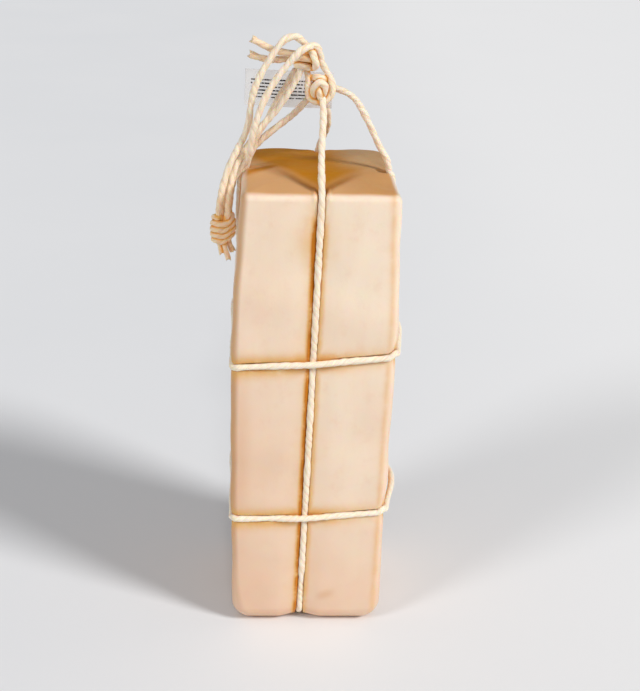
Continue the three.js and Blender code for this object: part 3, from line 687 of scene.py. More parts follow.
def on_block(side, place, rows):
    """Points of the smooth block, the way out at each, and the distance across from the upright cord.
    Place runs from -1 to 1 along a side: the straight part in proportion to it, then half of the round
    edge as an arc. The cords stay straight where the block bows."""
    z, inset, tilt, scale = np.moveaxis(rows, -1, 0)
    half_x, half_y, middle = plan(z)
    corner = edge_radius(side, place, z)
    odd = side % 2 == 1
    half_along = np.where(odd, half_y, half_x)
    half_out = np.where(odd, half_x, half_y)
    reach = np.abs(place)
    flat = np.minimum(1, reach / STRAIGHT)
    arc = np.clip((reach - STRAIGHT) / (1 - STRAIGHT), 0, None) * QUARTER / 2
    sideways = np.sign(place) * np.sin(arc)
    line = LINE_LOW[side] + (LINE_TOP[side] - LINE_LOW[side]) * z / HEIGHT + ALONG[side, 0] * bow(z)
    far = (half_along - corner) * flat + corner * np.sin(arc)
    s = np.sign(place) * far + line * (1 - flat) - inset * sideways
    o = half_out - corner * (1 - np.cos(arc)) - inset * np.cos(arc)
    level = ALONG[side] * sideways[..., None] + OUT[side] * np.cos(arc)[..., None]
    normal = np.concatenate([level * np.cos(tilt)[..., None], np.sin(tilt)[..., None]], axis=-1)
    flat_point = ALONG[side] * s[..., None] + OUT[side] * o[..., None]
    centre = np.where(tilt < 0, BASE_MIDDLE, middle)
    x = centre + (middle + flat_point[..., 0] - centre) * scale
    y = flat_point[..., 1] * scale
    crown = np.where(tilt > 0, CROWN * (1 - scale ** 2), 0)
    return np.stack([x, y, z + crown], axis=-1), normal, (s - line) * scale


# %% How far the twine presses in
# Depths are given at mid height, at the base and at the top, once or for each side.
SUNK_LOW = 3.2
SUNK = (3, SUNK_LOW, 1.2)  # how far the upright cords sink below the floor of their valleys
VALLEY_MID = (1.2, 1.2, 1.2, 7)
VALLEY_LOW = 4
VALLEY = (VALLEY_MID, VALLEY_LOW, (2, 2, 2, 0.4))  # depth of the valleys that they lie in
LOW_REACH = 50
TOP_REACH = np.array([40, 40, 40, 70])
DIP = np.array([1.2, 0, 1.2, 0])  # how much further the rings press the cords in on each side
DIP_HALF = 20
JOINT_GAP = 0.4
CROSSING_HALF = 26

# At the corners from the front left on, each ring has its height and how far it sinks into the upright
# edge. On the front it sags, and on each side it stands out over the upright cord by a peak.
RINGS = {
    "twine_ring_lower": {
        "heights": np.array([93, 101.2, 89.5, 86.5]),
        "sunk": np.array([3.2, 3, 1.5, 1]),
        "sag": 2.3,
        "peaks": np.array([1.5, 9.6, 1.5, -0.3]),
    },
    "twine_ring_upper": {
        "heights": np.array([212.8, 225, 216.5, 219]),
        "sunk": np.array([3.2, 2.2, 1.5, 1.8]),
        "sag": 1.6,
        "peaks": np.array([1.5, 6.7, 1.5, -0.9]),
    },
}
PEAK_REACHES = np.array([0.4, 0.85, 0.4, 0.5])  # share of a side's half where the rings rise to their peaks


def depth_at(side, z, depths):
    """A depth at mid height that passes into others near the base and the top, by hills of power 2 and 4."""
    mid, low, top = [np.broadcast_to(depth, 4)[side] for depth in depths]
    return mid + (low - mid) * hill(z, LOW_REACH) + (top - mid) * hill(HEIGHT - z, TOP_REACH[side], 4)


def ring_height(ring, side, place):
    """Height of a ring at a place on a side: from one corner to the next, and a square law for its sag."""
    low, high = ring["heights"][side], ring["heights"][(side + 1) % 4]
    return low + (high - low) * (place + 1) / 2 - ring["sag"] * (side == FRONT) * (1 - place ** 2)


def cord_depth(side, z):
    """Depth of an upright cord's lowest line: valley, how far it sinks, and a bell's dip under each ring."""
    dips = sum(bell((z - ring_height(ring, side, 0)) / DIP_HALF) for ring in RINGS.values())
    return depth_at(side, z, VALLEY) + depth_at(side, z, SUNK) + DIP[side] * dips


def ring_offset(ring, side, place):
    """Distance of a ring's middle from the smooth block: sunk at corners, half a cosine out to its peak."""
    low, high = ring["sunk"][side], ring["sunk"][(side + 1) % 4]
    sunk = low + (high - low) * smooth_step(place, -1, 1)
    near = np.minimum(1, np.abs(place) / PEAK_REACHES[side])
    rise = 0.5 * (1 + np.cos(math.pi * near))
    return (RADIUS - sunk) * (1 - rise) + ring["peaks"][side] * rise


def crossing_lift(x):
    """Extra height of the left to right cord where it passes over the other under the base: a bell."""
    return (TWINE + 2 * JOINT_GAP) * bell((x - BASE_MIDDLE) / CROSSING_HALF)


# %% [markdown]
# ## Twine round the block
# One cord goes from the main knot down the front, under the base and up the back, another does the same
# from right to left, and two rings go round the sides. The cheese holds them all the way, so they aren't
# free cords: they are pieces of twine on the routes of their CAD nodes.

# %% Harness routes
LEGS = [
    [(1.6, -6, 388.5), (2.2, -17, 378.5), (1.2, -31, 364.6), (0.6, -44, 350.8)],
    [(8, 1, 392.6), (17.4, 1, 389.5), (24.4, 1, 384.6), (34.6, 1.5, 368), (41.5, 2, 354.2), (48, 2, 343)],
    [(1.5, 4.5, 388.5), (2.2, 10, 386.6), (5, 17, 379.5), (8.3, 34, 359.6), (4.5, 52, 342.5)],
    [(-6.5, 2.5, 385.5), (-16.4, 3.5, 374), (-28.3, 4, 364), (-37.7, 4.5, 355.8), (-43.8, 4.2, 349)],
]
CORD_ROWS = np.concatenate([
    fillet_rows([0.6, 0.2]),
    rows_of(np.linspace(HEIGHT - 18, 25, 34)),
    fillet_rows([-0.1, -0.4, -0.7]),
    end_rows([0.95, 0.7, 0.4, 0.15], top=False),
])


def upright_run(side, lifted):
    """Middle of an upright cord, from the top's edge down a side to the middle of the base: the block's
    points on its line, moved in to where the twine lies in its channel."""
    sides = np.full(len(CORD_ROWS), side)
    points, normal, _ = on_block(sides, 0 * sides, CORD_ROWS)
    points = points + normal * (RADIUS - cord_depth(sides, CORD_ROWS[:, 0]))[:, None]
    if lifted:
        points[:, 2] += np.where(CORD_ROWS[:, 2] == -QUARTER, crossing_lift(points[:, 0]), 0)
    return points


def harness_route(side, opposite, lifted):
    """Down one leg and side, under the base, and up the opposite side and leg."""
    down, up = [np.concatenate([LEGS[n], upright_run(n, lifted)]) for n in (side, opposite)]
    return np.concatenate([down, up[::-1]])


HARNESS = {
    "twine_front_back": harness_route(FRONT, BACK, False),
    "twine_left_right": harness_route(RIGHT, LEFT, True),
}
for number, (node, route) in enumerate(HARNESS.items()):
    surface = rope(route, 300 + 10 * number, shaded_and_oiled_below=HEIGHT, soaked=LOOP_SOAKED)
    add_piece(node + "_rope", surface, TWINE_FINISH, node)

# %% Ring routes
RING_PLACES = np.array([0.15, 0.3, 0.45, 0.6, 0.74, 0.85, 0.95])
RING_LOOKS = {
    "shaded_and_oiled_below": HEIGHT,
    "shift": 0.05,  # of their plies, which lie closer together
    "lumps": 0.035,  # how lumpy they are
}
RING_OIL_AND_SHADE = 0.5  # how much oil and painted shade they have, compared with the upright cords


def ring_route(ring):
    """Points once round the block from the middle of the back, where the ends meet a small gap apart."""
    places = np.concatenate([-RING_PLACES[::-1], [0], RING_PLACES])
    side = np.repeat(np.arange(4), len(places))
    place = np.tile(places, 4)
    points, normal, _ = on_block(side, place, rows_of(ring_height(ring, side, place)))
    points = points + normal * ring_offset(ring, side, place)[:, None]
    start = BACK * len(places) + len(RING_PLACES)
    route = np.concatenate([points[start:], points[: start + 1]])
    route[0, 0] -= JOINT_GAP / 2
    route[-1, 0] += JOINT_GAP / 2
    return route


for number, (node, ring) in enumerate(RINGS.items()):
    surface = rope(ring_route(ring), 340 + 10 * number, **RING_LOOKS)
    surface["values"]["oil_and_shade"] *= RING_OIL_AND_SHADE
    add_piece(node + "_rope", surface, TWINE_FINISH, node)

# %% [markdown]
# ## Main knot
# All four legs and the loop meet in a knot above the top. A collar of twine goes round its heart, the
# front leg folds over in front of it, and a smaller knot sits above. A knot could be carved from one lump,
# but it only looks tied when strands can be followed over and under each other, so it is made of short
# routes of the same twine.

# %% Main knot
KNOT_ROUTES = {
    "collar": [
        (-9.5, -10, 420.6), (-5.5, -9.6, 421.6), (-2, -8.2, 419.6), (-0.6, -6.6, 415), (0.6, -5.6, 410),
        (5.4, -6, 402), (8.2, -6.5, 395), (7, -6.5, 388.6), (3, -6.5, 384.4), (-3, -6, 384),
        (-7, -5.5, 388), (-8, -5, 394), (-8, -4, 400), (-9.6, -3, 406), (-10.5, -2, 411),
    ],
    "front_turn": [
        (-2, -3, 386.5), (-4, -7, 389), (-4.4, -10, 394), (-0.8, -11.4, 398), (3, -10.4, 395.4),
        (2.6, -8.6, 391), (1.6, -6.4, 388),
    ],
    "inner_turn": [
        (-4, 2, 398), (-4.6, -4, 399.5), (-0.5, -7.4, 400.4), (4, -4, 398.5), (4, 2, 396),
    ],
    "inner_end": [
        (-2.4, -5, 397), (-1.5, -9, 395), (-0.8, -9.8, 391.5), (0.2, -8.8, 388), (0.8, -7, 385.5),
    ],
    "upper_strand": [
        (-17.5, -3, 411.5), (-14.5, -6.5, 412.6), (-11, -8.4, 412.9), (-7.5, -8.6, 412.6),
        (-4.5, -6, 411), (-3.5, -1, 410),
    ],
    "upper_bulge": [
        (-9, -5, 419), (-6.4, -9.4, 417.4), (-4.4, -11, 413.4), (-3.4, -10.2, 409.2),
        (-4.4, -6.5, 406.6), (-8, -2.5, 406.8),
    ],
    "lower_strand": [
        (-17, -2, 407.4), (-14.4, -5.6, 408), (-10.6, -7.4, 407.6), (-7, -6, 406.4), (-5, -2, 405.6),
    ],
}
HEARTS = [
    {"middle": np.array((0.5, 0, 391.5)), "radius": 3.8, "pitch": 3.9, "turns": 3.2},
    {"middle": np.array((-8, -1.5, 413)), "radius": 3.2, "pitch": 3.9, "turns": 2.4},
]
HEART_START = 0.4
HEART_POINTS = 30
HEART_SHADE_AND_OIL = 0.75  # share of oil and painted shade near a heart, deep inside the knot
HEART_REACH = (7.5, 11.5)  # distances from its middle between which that fades
KNOT_SOAKED = 0.18  # share of oil elsewhere in the knot


def main_knot():
    """Short routes of twine over two hearts, each of them a tight helix that fills the knot, with oil and
    painted shade in the crevices between them and near the hearts."""
    hearts = [helix(**heart, start=HEART_START, points=HEART_POINTS) for heart in HEARTS]
    routes = [*KNOT_ROUTES.values(), *hearts]
    whole = joined([rope(route, 400 + 10 * n) for n, route in enumerate(routes)])
    from_heart = [np.linalg.norm(whole["points"] - heart["middle"], axis=1) for heart in HEARTS]
    inside = HEART_SHADE_AND_OIL * (1 - smooth_step(np.minimum(*from_heart), *HEART_REACH))
    whole["values"]["oil_and_shade"] = np.maximum(KNOT_SOAKED, np.maximum(inside, crevice_shade_and_oil(whole, routes)))
    return whole


add_piece("knot_main_twine", main_knot(), TWINE_FINISH, "knot_main")

# %% [markdown]
# ## Cheese
# The block is one tube of rows from the middle of the base to the middle of the top. Rows lie close
# together at the rings and columns at the upright cords, where the surface bends sharply, and further
# apart elsewhere. A subdivision surface would round the channels off, so the grid is simply fine enough.
# Every point also carries its shares of the rind's tints, because the material can't see the twine.

# %% Grid of the block
RING_LEVELS = [float(ring["heights"].mean()) for ring in RINGS.values()]
NEAR_RING = 9  # half of the band with close rows
RING_BANDS = [(level - NEAR_RING, level + NEAR_RING) for level in RING_LEVELS]
ROW_STEP = 2.2
CLOSE_ROW_STEP = 0.75


def spaced(stops, steps):
    """Numbers from the first stop to the last, at most the given step apart between each pair of stops."""
    runs = []
    for low, high, step in zip(stops[:-1], stops[1:], steps):
        runs.append(np.linspace(low, high, math.ceil((high - low) / step), endpoint=False))
    return np.concatenate([*runs, stops[-1:]])


def block_rows():
    """Rows of the block from the base to the top, still with each ring at its mean level."""
    stops = [LOW_FILLET, *RING_BANDS[0], *RING_BANDS[1], HEIGHT - TOP_FILLET]
    steps = [ROW_STEP, CLOSE_ROW_STEP, ROW_STEP, CLOSE_ROW_STEP, ROW_STEP]
    return np.concatenate([
        end_rows(np.linspace(0.04, 1, 30), top=False),
        fillet_rows(np.linspace(-1, 0, 14)[1:-1]),
        rows_of(spaced(stops, steps)),
        fillet_rows(np.linspace(0, 1, 13)[1:-1]),
        end_rows(np.linspace(1, 0.03, 32), top=True),
    ])


def lifted_rows(rows, side, place):
    """The rows for every column, moved up or down with the rings that they follow: the lift is full across
    a ring's band and dies away in straight lines to the next band or the rounded edge."""
    (low_a, low_b), (high_a, high_b) = RING_BANDS
    reaches = [(LOW_FILLET, low_a, low_b, high_a), (low_b, high_a, high_b, HEIGHT - TOP_FILLET)]
    grid = np.repeat(rows[:, None], len(place), axis=1)
    for ring, level, reach in zip(RINGS.values(), RING_LEVELS, reaches):
        share = np.interp(rows[:, 0], reach, [0, 1, 1, 0])
        grid[..., 0] += np.outer(share, ring_height(ring, side, place) - level)
    return grid


# %% Pressed surface
VALLEY_HALF_LOW = 16
VALLEY_HALF = (20, VALLEY_HALF_LOW, 9)  # half of the width of an upright valley
SOFT_LOW = 2.8
SOFT = (VALLEY_MID, SOFT_LOW, (0.9, 0.9, 0.9, 0.4))  # depth of its soft part: the channel goes deeper
RING_VALLEY = 0.6
RING_VALLEY_HALF = 12
TOP_FADE = 0.8  # scale at which the valleys and stains have died away on the top
CHANNEL_FLOOR = 1.3  # half of the floor of a channel on a side
BASE_CHANNEL_FLOOR = 1.9
CHANNEL_WALL = 2.3
CLEARANCE = 0.15
EDGE_CLEARANCE = 0.8
LOW_BEND = 18
TOP_BEND = 14
LIP_HEIGHT = 1.1  # of the two small lips that the front cord pushes up on the top's edge
LIP_PLACE = 4.8  # their distance from the cord's middle
LIP_HALF = 2.4
LIP_REACH = 8
HALF_TOP = 50  # rough distance from the top's edge to its middle


def trough(distance, floor):
    """A channel of depth 1: level over its floor, then smooth walls."""
    return 1 - smooth_step(np.abs(distance), floor, floor + CHANNEL_WALL)


def kept_on_top(tilt, scale):
    """1 on the sides, and on the top a smooth step down from its edge."""
    return np.where(tilt > 0, smooth_step(scale, TOP_FADE, 1), 1)


def pressed_on_side(side, place, rows, across):
    """Depth pressed in on a side: a broad valley along the upright cord and a shallow one along each ring,
    or the narrow channel that the twine lies in, whichever is deeper, less the front cord's two lips."""
    z, _, tilt, scale = np.moveaxis(rows, -1, 0)
    kept = kept_on_top(tilt, scale)
    bends = hill(z, LOW_BEND) + hill(HEIGHT - z, TOP_BEND)
    floor = CHANNEL_FLOOR + (BASE_CHANNEL_FLOOR - CHANNEL_FLOOR) * np.clip(-tilt / QUARTER, 0, 1)
    channel = (cord_depth(side, z) + CLEARANCE + EDGE_CLEARANCE * bends) * trough(across, floor) * kept
    broad = depth_at(side, z, SOFT) * bell(across / depth_at(side, z, VALLEY_HALF)) * kept
    for ring in RINGS.values():
        away = z - ring_height(ring, side, place)
        depth = np.clip(RADIUS + CLEARANCE - ring_offset(ring, side, place), 0, None)
        broad = broad + RING_VALLEY * bell(away / RING_VALLEY_HALF)
        channel = np.maximum(channel, depth * trough(away, CHANNEL_FLOOR))
    from_edge = HEIGHT - z + HALF_TOP * (1 - scale)
    lips = bell((np.abs(across) - LIP_PLACE) / LIP_HALF) * bell(from_edge / LIP_REACH) * (side == FRONT)
    return np.maximum(broad, channel) - LIP_HEIGHT * lips


def pressed_on_base(points):
    """Depth pressed into the base by the two crossing cords: a broad valley and a channel for each."""
    x, y, _ = np.moveaxis(points, -1, 0)
    floor = VALLEY_LOW + SUNK_LOW + CLEARANCE + EDGE_CLEARANCE
    from_cord = x - BASE_MIDDLE - y / (DEPTH / 2 - LOW_FILLET)
    return np.maximum.reduce([
        SOFT_LOW * bell(from_cord / VALLEY_HALF_LOW),
        SOFT_LOW * bell(y / VALLEY_HALF_LOW),
        floor * trough(from_cord, BASE_CHANNEL_FLOOR),
        (floor + crossing_lift(x)) * trough(y, BASE_CHANNEL_FLOOR),
    ])


# %% Golden stain and painted shade
STAIN_AND_SHADE = 0.75  # strength of the strong part of the stain, partly the cord's painted shadow in its groove
STAIN_NEAR = 5.6  # and how far it reaches from a cord's middle
STAIN_END = (308, 328)  # heights between which it fades below the top
STAIN_WEAK = 0.3  # strength of the weak part
STAIN_FAR = 10.5  # and how far it reaches
STAIN_SPREAD = 0.6  # how much wider and stronger that is a little below the top
STAIN_SPREAD_LEVEL = 305
STAIN_SPREAD_HALF = 30
LIT_SIDE_SHARE = 0.5  # share of the stain on the lit right side of the front cord; the left side keeps it all as the cord's painted shadow
RING_STAIN_AND_SHADE = 0.75  # strength of the stain beside the rings, partly the rings' painted shadow
RING_STAIN_REACH = 8.5  # and how far it reaches
RIM_SHADE = 0.33  # strength of the painted shade in a band just inside the front right edge
RIM_INSET = 5.5
RIM_HALF = 4.5
UNDER_SHADE = 0.9  # strength of the gold painted as shade where the round edge turns under the base


def stain_and_shade(side, place, rows, across, x):
    """Golden stain of the sides, partly oil and partly painted shade, whichever is strongest: beside a cord
    a nearly level strip that fades below the top, partly the cord's painted shadow in its groove, on a weak
    bell curve that grows there, both weaker to the right of the front one, where the key light falls. Beside
    a ring a bell curve, partly the ring's painted shadow, weaker to the front right edge. A faint band of
    painted shade inside that edge, and gold painted as shade below."""
    z, _, tilt, scale = np.moveaxis(rows, -1, 0)
    front = side == FRONT
    windward = np.where(front & (across > 0), LIT_SIDE_SHARE, 1)
    wider = 1 + STAIN_SPREAD * bell((z - STAIN_SPREAD_LEVEL) / STAIN_SPREAD_HALF)
    strong = STAIN_AND_SHADE * hill(across, STAIN_NEAR, 6) * (1 - smooth_step(z, *STAIN_END))
    weak = STAIN_WEAK * wider * hill(across, STAIN_FAR * wider)
    half_x, _, middle = plan(z)
    weaker = 1 - 0.5 * smooth_step(place, 0, 0.6) * front
    shares = [
        kept_on_top(tilt, scale) * windward * (strong + weak),
        RIM_SHADE * bell((middle + half_x - x - RIM_INSET) / RIM_HALF) * front,
        UNDER_SHADE * smooth_step(-tilt / QUARTER, 0.4, 0.65),
    ]
    for ring in RINGS.values():
        shares.append(RING_STAIN_AND_SHADE * weaker * hill(z - ring_height(ring, side, place), RING_STAIN_REACH))
    return np.maximum.reduce(shares)


# %% Tints
EDGE_SHADE_BAND = 14  # depth of the band of painted shade along the front left edge
EDGE_FADE = 110  # height below which that band fades
MID_FLUSH = 0.4  # strength of the rosier strip along the left edge at mid height
FLUSH_LEVEL = 150
FLUSH_HALF = 110
LOW_ROSY = 0.72  # how much rosier the base is than the upper part
ROSY_HEIGHT = 300  # where that ends
LEFT_ROSY = 0.3  # how much rosier the left is than the right
SMUDGE = 0.36  # strength of a small pink and brown mark low on the front
SMUDGE_PLACE = (13, 27)
SMUDGE_HALF = (10, 6)
# The amber part on the top is partly painted shade of the knot and legs above it.
ARMS_START = (1.3, -46)  # on the top, where the amber part comes to a point
ARMS_SPREAD = 0.63  # how fast it widens to the back
ARMS_HALF = 5  # half of its width there
ARM_SHADOW_SHARE = 0.7  # strength of the painted shadow of the front leg along its two arms
ARM_SHADOW_HALF = 7
# The amber band is partly the painted shadow of the left leg.
BAND_START = (-45, -10)  # a point on the amber band from the left edge to the back cord
BAND_RISE = 0.83  # how fast the band goes back
BAND_HALF = 11


def side_tints(side, tilt, points, normal):
    """Tints of the sides: rosy to the left and below, a painted highlight on the front's upper edge, painted
    shade round the front left edge, and a mark low on the front: a bell across it and one up it, slanted to
    the right."""
    x, y, z = np.moveaxis(points, -1, 0)
    front = side == FRONT
    right = (x - SMUDGE_PLACE[0]) / SMUDGE_HALF[0]
    up = (z - SMUDGE_PLACE[1]) / SMUDGE_HALF[1]
    mark = SMUDGE * bell(right) * bell(up - 0.5 * right) * front
    # A painted highlight along the front's upper edge makes the rosy share paler there.
    painted_highlight = bell((tilt - 0.25) / 0.4) * front
    flush = MID_FLUSH * bell((z - FLUSH_LEVEL) / FLUSH_HALF) * (1 - smooth_step(x, -52, -40))
    left = LEFT_ROSY * (1 - smooth_step(x, -40, 40))
    low = LOW_ROSY * np.clip(1 - z / ROSY_HEIGHT, 0, 1)
    # Painted shade round the front left edge, where the surface turns left, away from the key light.
    edge = smooth_step(-normal[..., 0], 0.05, 0.75) * hill(y + DEPTH / 2, EDGE_SHADE_BAND)
    return {
        "rosy": left + low - 0.1 + flush - 0.5 * painted_highlight + mark,
        "edge": 0.75 * edge * smooth_step(z, 0, EDGE_FADE) + 0.5 * mark,
    }


def top_tints(tilt, points):
    """Tints of the top: an amber part that widens to the back like a V, partly painted shade of the knot and
    its legs, with painted shadows of the front leg along its arms, and a straight amber band on its left,
    partly the painted shadow of the left leg. It greys to the right."""
    x, y, _ = np.moveaxis(points, -1, 0)
    behind = ARMS_HALF + ARMS_SPREAD * (y - ARMS_START[1]) - np.abs(x - ARMS_START[0])
    beside = (y - BAND_START[1]) - BAND_RISE * (x - BAND_START[0])
    band = bell(beside / BAND_HALF) * (1 - smooth_step(x, -10, 20))
    return {
        "top": smooth_step(tilt, 0.45, 0.9),
        "amber": np.maximum.reduce([smooth_step(behind, -6, 12), band, 0.3 * smooth_step(x, 5, 40)]),
        "painted_arm_shadow": ARM_SHADOW_SHARE * bell(behind / ARM_SHADOW_HALF) * (1 - smooth_step(y, -34, 0)),
        "brown": smooth_step(x, 4, 30) * smooth_step(y, -15, 20),
    }


# %% Whole block
NEAR_CORD = 0.17  # half of the band with close columns, as a place
COLUMN_STEPS = (0.0122, 0.034, 0.03)  # in that band, on the rest of the straight part, on the round edge
RELIEF = 0.16  # height of one wave of the hand-stretched surface
RELIEF_WAVES = 9
RELIEF_LENGTHS = (24, 90)
RELIEF_SEED = 7


def relief(points):
    """Gentle hand-made unevenness: a sum of seeded plane waves through space."""
    random = np.random.default_rng(RELIEF_SEED)
    ways = random.normal(size=(3, RELIEF_WAVES))
    ways /= np.linalg.norm(ways, axis=0)
    lengths = random.uniform(*RELIEF_LENGTHS, RELIEF_WAVES)
    starts = random.uniform(0, 2 * math.pi, RELIEF_WAVES)
    return RELIEF * np.sin(2 * math.pi * (points @ ways) / lengths + starts).sum(axis=-1)


def block_surface():
    """The whole cheese as one tube: the smooth block moved in by the twine and in or out by the relief."""
    half = spaced([0, NEAR_CORD, STRAIGHT, 1], COLUMN_STEPS)
    places = np.concatenate([-half[:0:-1], half[:-1]])
    side = np.repeat(np.arange(4), len(places))
    place = np.tile(places, 4)
    rows = lifted_rows(block_rows(), side, place)
    points, normal, across = on_block(side, place, rows)
    tilt = rows[..., 2] / QUARTER
    values = side_tints(side, tilt, points, normal) | top_tints(tilt, points)
    values["stain_and_shade"] = stain_and_shade(side, place, rows, across, points[..., 0])
    on_base = (tilt == -1) & (rows[..., 3] < 1)
    pressed = np.where(on_base, pressed_on_base(points), pressed_on_side(side, place, rows, across))
    raised = np.where(tilt < 0, 0, relief(points)) - pressed
    points = points + normal * raised[..., None]
    return tube(points, points[[0, -1]].mean(axis=1), np.linspace(0, 1, len(rows)), values)


# %% [markdown]
# ## Rind
# The rind is smooth and waxy, pale on the sides, golden beside the twine, where oil has gathered and shade
# is painted in, and amber and brown on the top, with painted shade and shadows there too. Light goes a
# little way into it, so the shader has some subsurface scattering, and a thin coat gives the sharp line of
# light on its edges. The tints are mixed by the values on the mesh, and soft noise makes them as uneven as
# on the real cheese.

# %% Rind material
RIND_PALE = colour(245, 225, 202)
RIND_ROSY = colour(229, 191, 161)
# colour of the painted shade on the front left edge
RIND_EDGE_SHADE = colour(206, 156, 100)
# honey and gold of the oil stain, which also carry painted shade beside the twine
RIND_HONEY = colour(226, 172, 92)
RIND_GOLD = colour(192, 114, 0)
TOP_TAN = colour(214, 162, 110)
# amber of the top, partly painted shade of the knot above it
TOP_AMBER = colour(184, 118, 8)
TOP_BROWN = colour(192, 152, 108)
# colour of the painted shadow of the front leg on the top
TOP_ARM_SHADOW = colour(164, 100, 0)
STREAKS = (110, 110, 16)  # upright streaks in a metre each way
GLOSS = {"Specular IOR Level": (0.22, 0.06), "Coat Weight": (0.16, 0.03)}  # on the sides and on the top


def rind_finish():
    """Pale passing into rosy, painted shade of the front left edge over it, the stain and its painted shade
    as honey that deepens to gold, the tints of the top with their painted shade, and a satin, slightly wavy
    gloss."""
    rind = Finish("rind")
    place = rind.place("Object")
    patches = rind.noise(place, 14)
    streaks = rind.noise(rind.scaled(place, STREAKS), 1, 3, 0.6)
    mottle = rind.noise(place, 95, 4, 0.6)
    grain = rind.noise(place, 700, 3, 0.6)
    uneven = rind.calculate("MULTIPLY", rind.value("stain_and_shade"), rind.ease(mottle, -0.2, 0.6))
    crown = rind.layers(
        TOP_TAN,
        (rind.value("amber"), TOP_AMBER),
        (rind.value("brown"), TOP_BROWN),
        (rind.value("painted_arm_shadow"), TOP_ARM_SHADOW),
    )
    top = rind.value("top")
    tone = rind.layers(
        RIND_PALE,
        (rind.calculate("ADD", rind.value("rosy"), rind.ease(patches, 0.3, 0.7, 0.3)), RIND_ROSY),
        (rind.ease(mottle, 0.5, 0.8, 0.25), RIND_ROSY),
        (rind.ease(streaks, 0.45, 0.75, 0.1), RIND_ROSY),
        (rind.value("edge"), RIND_EDGE_SHADE),
        (rind.ease(uneven, 0, 0.65, 0.85), RIND_HONEY),
        (rind.ease(uneven, 0.5, 0.95), RIND_GOLD),
        (top, crown),
    )
    inputs = {
        "Base Color": tone,
        "Roughness": rind.calculate("ADD", rind.ease(mottle, 0.3, 0.8, 0.14), 0.36),
        "Coat Roughness": 0.14,
        "Normal": rind.bump(grain, 0.12, 0.0006),
        "Subsurface Weight": 0.5,
        "Subsurface Radius": (1, 0.45, 0.2),
        "Subsurface Scale": 0.005,
    }
    for socket, (on_side, on_top) in GLOSS.items():
        inputs[socket] = rind.add("MapRange", "Result", {"Value": top, "To Min": on_side, "To Max": on_top})
    return rind.shade(inputs)


add_piece("cheese_rind", block_surface(), rind_finish(), "cheese_block")

# %% [markdown]
# ## Tag
# A small milky film is threaded on the back leg. It is a sheet with a hole, which a plain grid can't have,
# so its rows run from the round hole out to the outline, over the edge and back on the other side: a
# closed ring of film. The print becomes rows of plain thin bars, which noise breaks up unevenly, because
# the part carries no words.

# %% Tag surface
TAG_WIDTH = 59.5
TAG_HEIGHT = 24.4
TAG_THICKNESS = 0.3
TAG_MIDDLE = (-20.4, 8.6, 389.2)
TAG_TILT = 0.026
TAG_HOLE = 3.8
TAG_HOLE_PLACE = np.array([22.5, -2.2])
TAG_COLUMNS = 200
TAG_ROWS = 40
TAG_CURL = 1.4


def tag_outline(count):
    """Points evenly round a rectangle, clockwise as seen from the front, from its upper right corner."""
    x, y = TAG_WIDTH / 2, TAG_HEIGHT / 2
    corners = np.array([(x, y), (x, -y), (-x, -y), (-x, y), (x, y)])
    return places_along(corners, np.linspace(0, travelled(corners)[-1], count, endpoint=False))


def tag_surface():
    """Film between the hole and the outline, front and back, closed over both edges. It curls with the
    square of the distance along it and waves a little across."""
    outline = tag_outline(TAG_COLUMNS)
    ray = outline - TAG_HOLE_PLACE
    hole = TAG_HOLE_PLACE + TAG_HOLE * ray / np.linalg.norm(ray, axis=1, keepdims=True)
    outwards = np.linspace(0, 1, TAG_ROWS)
    share = np.concatenate([outwards, outwards[::-1]])[:, None, None]
    a, b = np.moveaxis(hole + (outline - hole) * share, -1, 0)
    rows = 2 * TAG_ROWS
    front = np.where(np.arange(rows) < TAG_ROWS, -1, 1)[:, None]
    curl = TAG_CURL * ((a / TAG_WIDTH * 2) ** 2 * 0.8 - 0.4 + 0.25 * np.sin(a / 9 + b / 7))
    x = TAG_MIDDLE[0] + a * math.cos(TAG_TILT) + b * math.sin(TAG_TILT)
    y = TAG_MIDDLE[1] + curl + front * TAG_THICKNESS / 2
    z = TAG_MIDDLE[2] - a * math.sin(TAG_TILT) + b * math.cos(TAG_TILT)
    quads = closed_rows(rows + 1, TAG_COLUMNS) % (rows * TAG_COLUMNS)
    places = np.stack([a / TAG_WIDTH + 0.5, b / TAG_HEIGHT + 0.5], axis=2).reshape(-1, 2)
    return {
        "points": np.stack([x, y, z], axis=2).reshape(-1, 3),
        "quads": quads,
        "fans": np.zeros((0, 3), int),
        "quad_uv": places[quads].reshape(-1, 2),
        "fan_uv": np.zeros((0, 2)),
        "values": {},
    }


# %% Tag material
FILM_MILKY = colour(252, 251, 250)
PRINT_DARK = colour(46, 40, 38)
FILM_ALPHA = 0.38  # share of light that the bare film stops
LINE_STEP = 2.35  # between two rows of bars
LINE_HALF = 0.2  # half of a bar's height, as a share of that
PRINT_MIDDLE = (24.5, 12.4)  # from the tag's lower left corner
PRINT_HALF = (20.5, 2.9 * LINE_STEP)
ROW_JUMP = 40  # how far apart in the noise two rows are taken


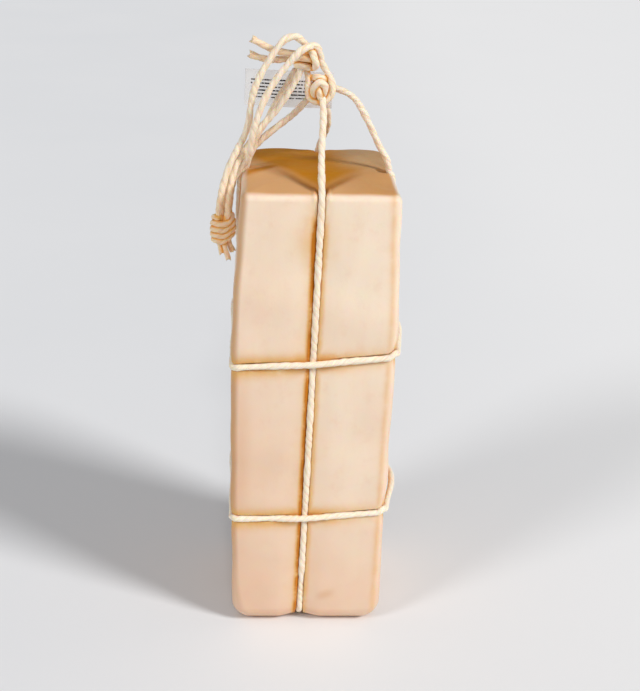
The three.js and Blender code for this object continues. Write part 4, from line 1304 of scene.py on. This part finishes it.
def film_finish():
    """Milky film that lets some light through, with rows of bars: dark where the height within its row is
    near the row's middle, the noise along that row is high, and the place is in the printed field."""
    film = Finish("film")
    in_mm = film.scaled(film.place("UV"), (TAG_WIDTH, TAG_HEIGHT, 1))
    x = film.add("SeparateXYZ", "X", {"Vector": in_mm})
    y = film.add("SeparateXYZ", "Y", {"Vector": in_mm})
    line = film.calculate("DIVIDE", y, LINE_STEP)
    row_start = film.calculate("MULTIPLY", film.calculate("FLOOR", line), ROW_JUMP)
    spot = film.add("CombineXYZ", "Vector", {"X": x, "Y": row_start})
    words = film.ease(film.noise(spot, 0.6, 2, 0.7), 0.4, 0.5)
    row = film.calculate("COMPARE", film.calculate("FRACT", line), 0.5, LINE_HALF)
    wide = film.calculate("COMPARE", x, PRINT_MIDDLE[0], PRINT_HALF[0])
    tall = film.calculate("COMPARE", y, PRINT_MIDDLE[1], PRINT_HALF[1])
    bars = film.calculate("MULTIPLY", words, row)
    ink = film.calculate("MULTIPLY", bars, film.calculate("MULTIPLY", wide, tall))
    return film.shade({
        "Base Color": film.layers(FILM_MILKY, (ink, PRINT_DARK)),
        "Alpha": film.calculate("MULTIPLY_ADD", ink, 1 - FILM_ALPHA, FILM_ALPHA),
        "Roughness": 0.35,
    })


add_piece("tag_film", tag_surface(), film_finish(), "tag")

# %% [markdown]
# ## Floor and light
# The photograph was taken on a plain pale sheet, with a stronger light from the front right, a weaker one
# from the front left and soft light from all round. The floor is staged, so it isn't part of the object.

# %% Floor
FLOOR_HALF = 6
PAPER_GREY = colour(232, 233, 235)
PAPER_PALE = colour(238, 238, 239)
PAPER_LIT = colour(254, 253, 252)


def paper_finish():
    """Pale grey paper with a hardly visible unevenness, a little lighter to the right, near the key lamp."""
    paper = Finish("paper")
    place = paper.place("Object")
    x = paper.add("SeparateXYZ", "X", {"Vector": place})
    coats = [(paper.noise(place, 3), PAPER_PALE), (paper.ease(x, -0.1, 0.5, 0.6), PAPER_LIT)]
    return paper.shade({
        "Base Color": paper.layers(PAPER_GREY, *coats),
        "Roughness": 0.85,
        "Specular IOR Level": 0.2,
    })


floor_mesh = bpy.data.meshes.new("floor")
floor_corners = [(FLOOR_HALF * x, FLOOR_HALF * y, 0) for x, y in ((-1, -1), (1, -1), (1, 1), (-1, 1))]
floor_mesh.from_pydata(floor_corners, [], [(0, 1, 2, 3)])
floor_mesh.materials.append(paper_finish())
floor = add_object("floor", floor_mesh)

# %% Lights
LIGHTS = {
    "key_right": {"towards": (1.1, -0.68, 1.0), "strength": 2.2, "spread": 14},
    "fill_left": {"towards": (-1.21, -0.92, 1.0), "strength": 0.85, "spread": 16},
    "front_soft": {"towards": (0.05, -1.0, 0.8), "strength": 0.3, "spread": 6},
}
SKY = colour(236, 238, 242)
SKY_STRENGTH = 0.28


def add_light(name, towards, strength, spread):
    """A far lamp in a direction from the block, as wide in degrees as its spread, which softens shadows."""
    lamp = add_object(name, bpy.data.lights.new(name, "SUN"))
    lamp.data.energy = strength
    lamp.data.angle = math.radians(spread)
    lamp.rotation_euler = Vector(towards).to_track_quat("Z", "Y").to_euler()


for name, light in LIGHTS.items():
    add_light(name, **light)

world = bpy.data.worlds.new("studio")
world.use_nodes = True
background = world.node_tree.nodes["Background"]
background.inputs["Color"].default_value = SKY
background.inputs["Strength"].default_value = SKY_STRENGTH
bpy.context.scene.world = world
bpy.context.scene.view_settings.view_transform = "Standard"
print("lamps:", ", ".join(LIGHTS))
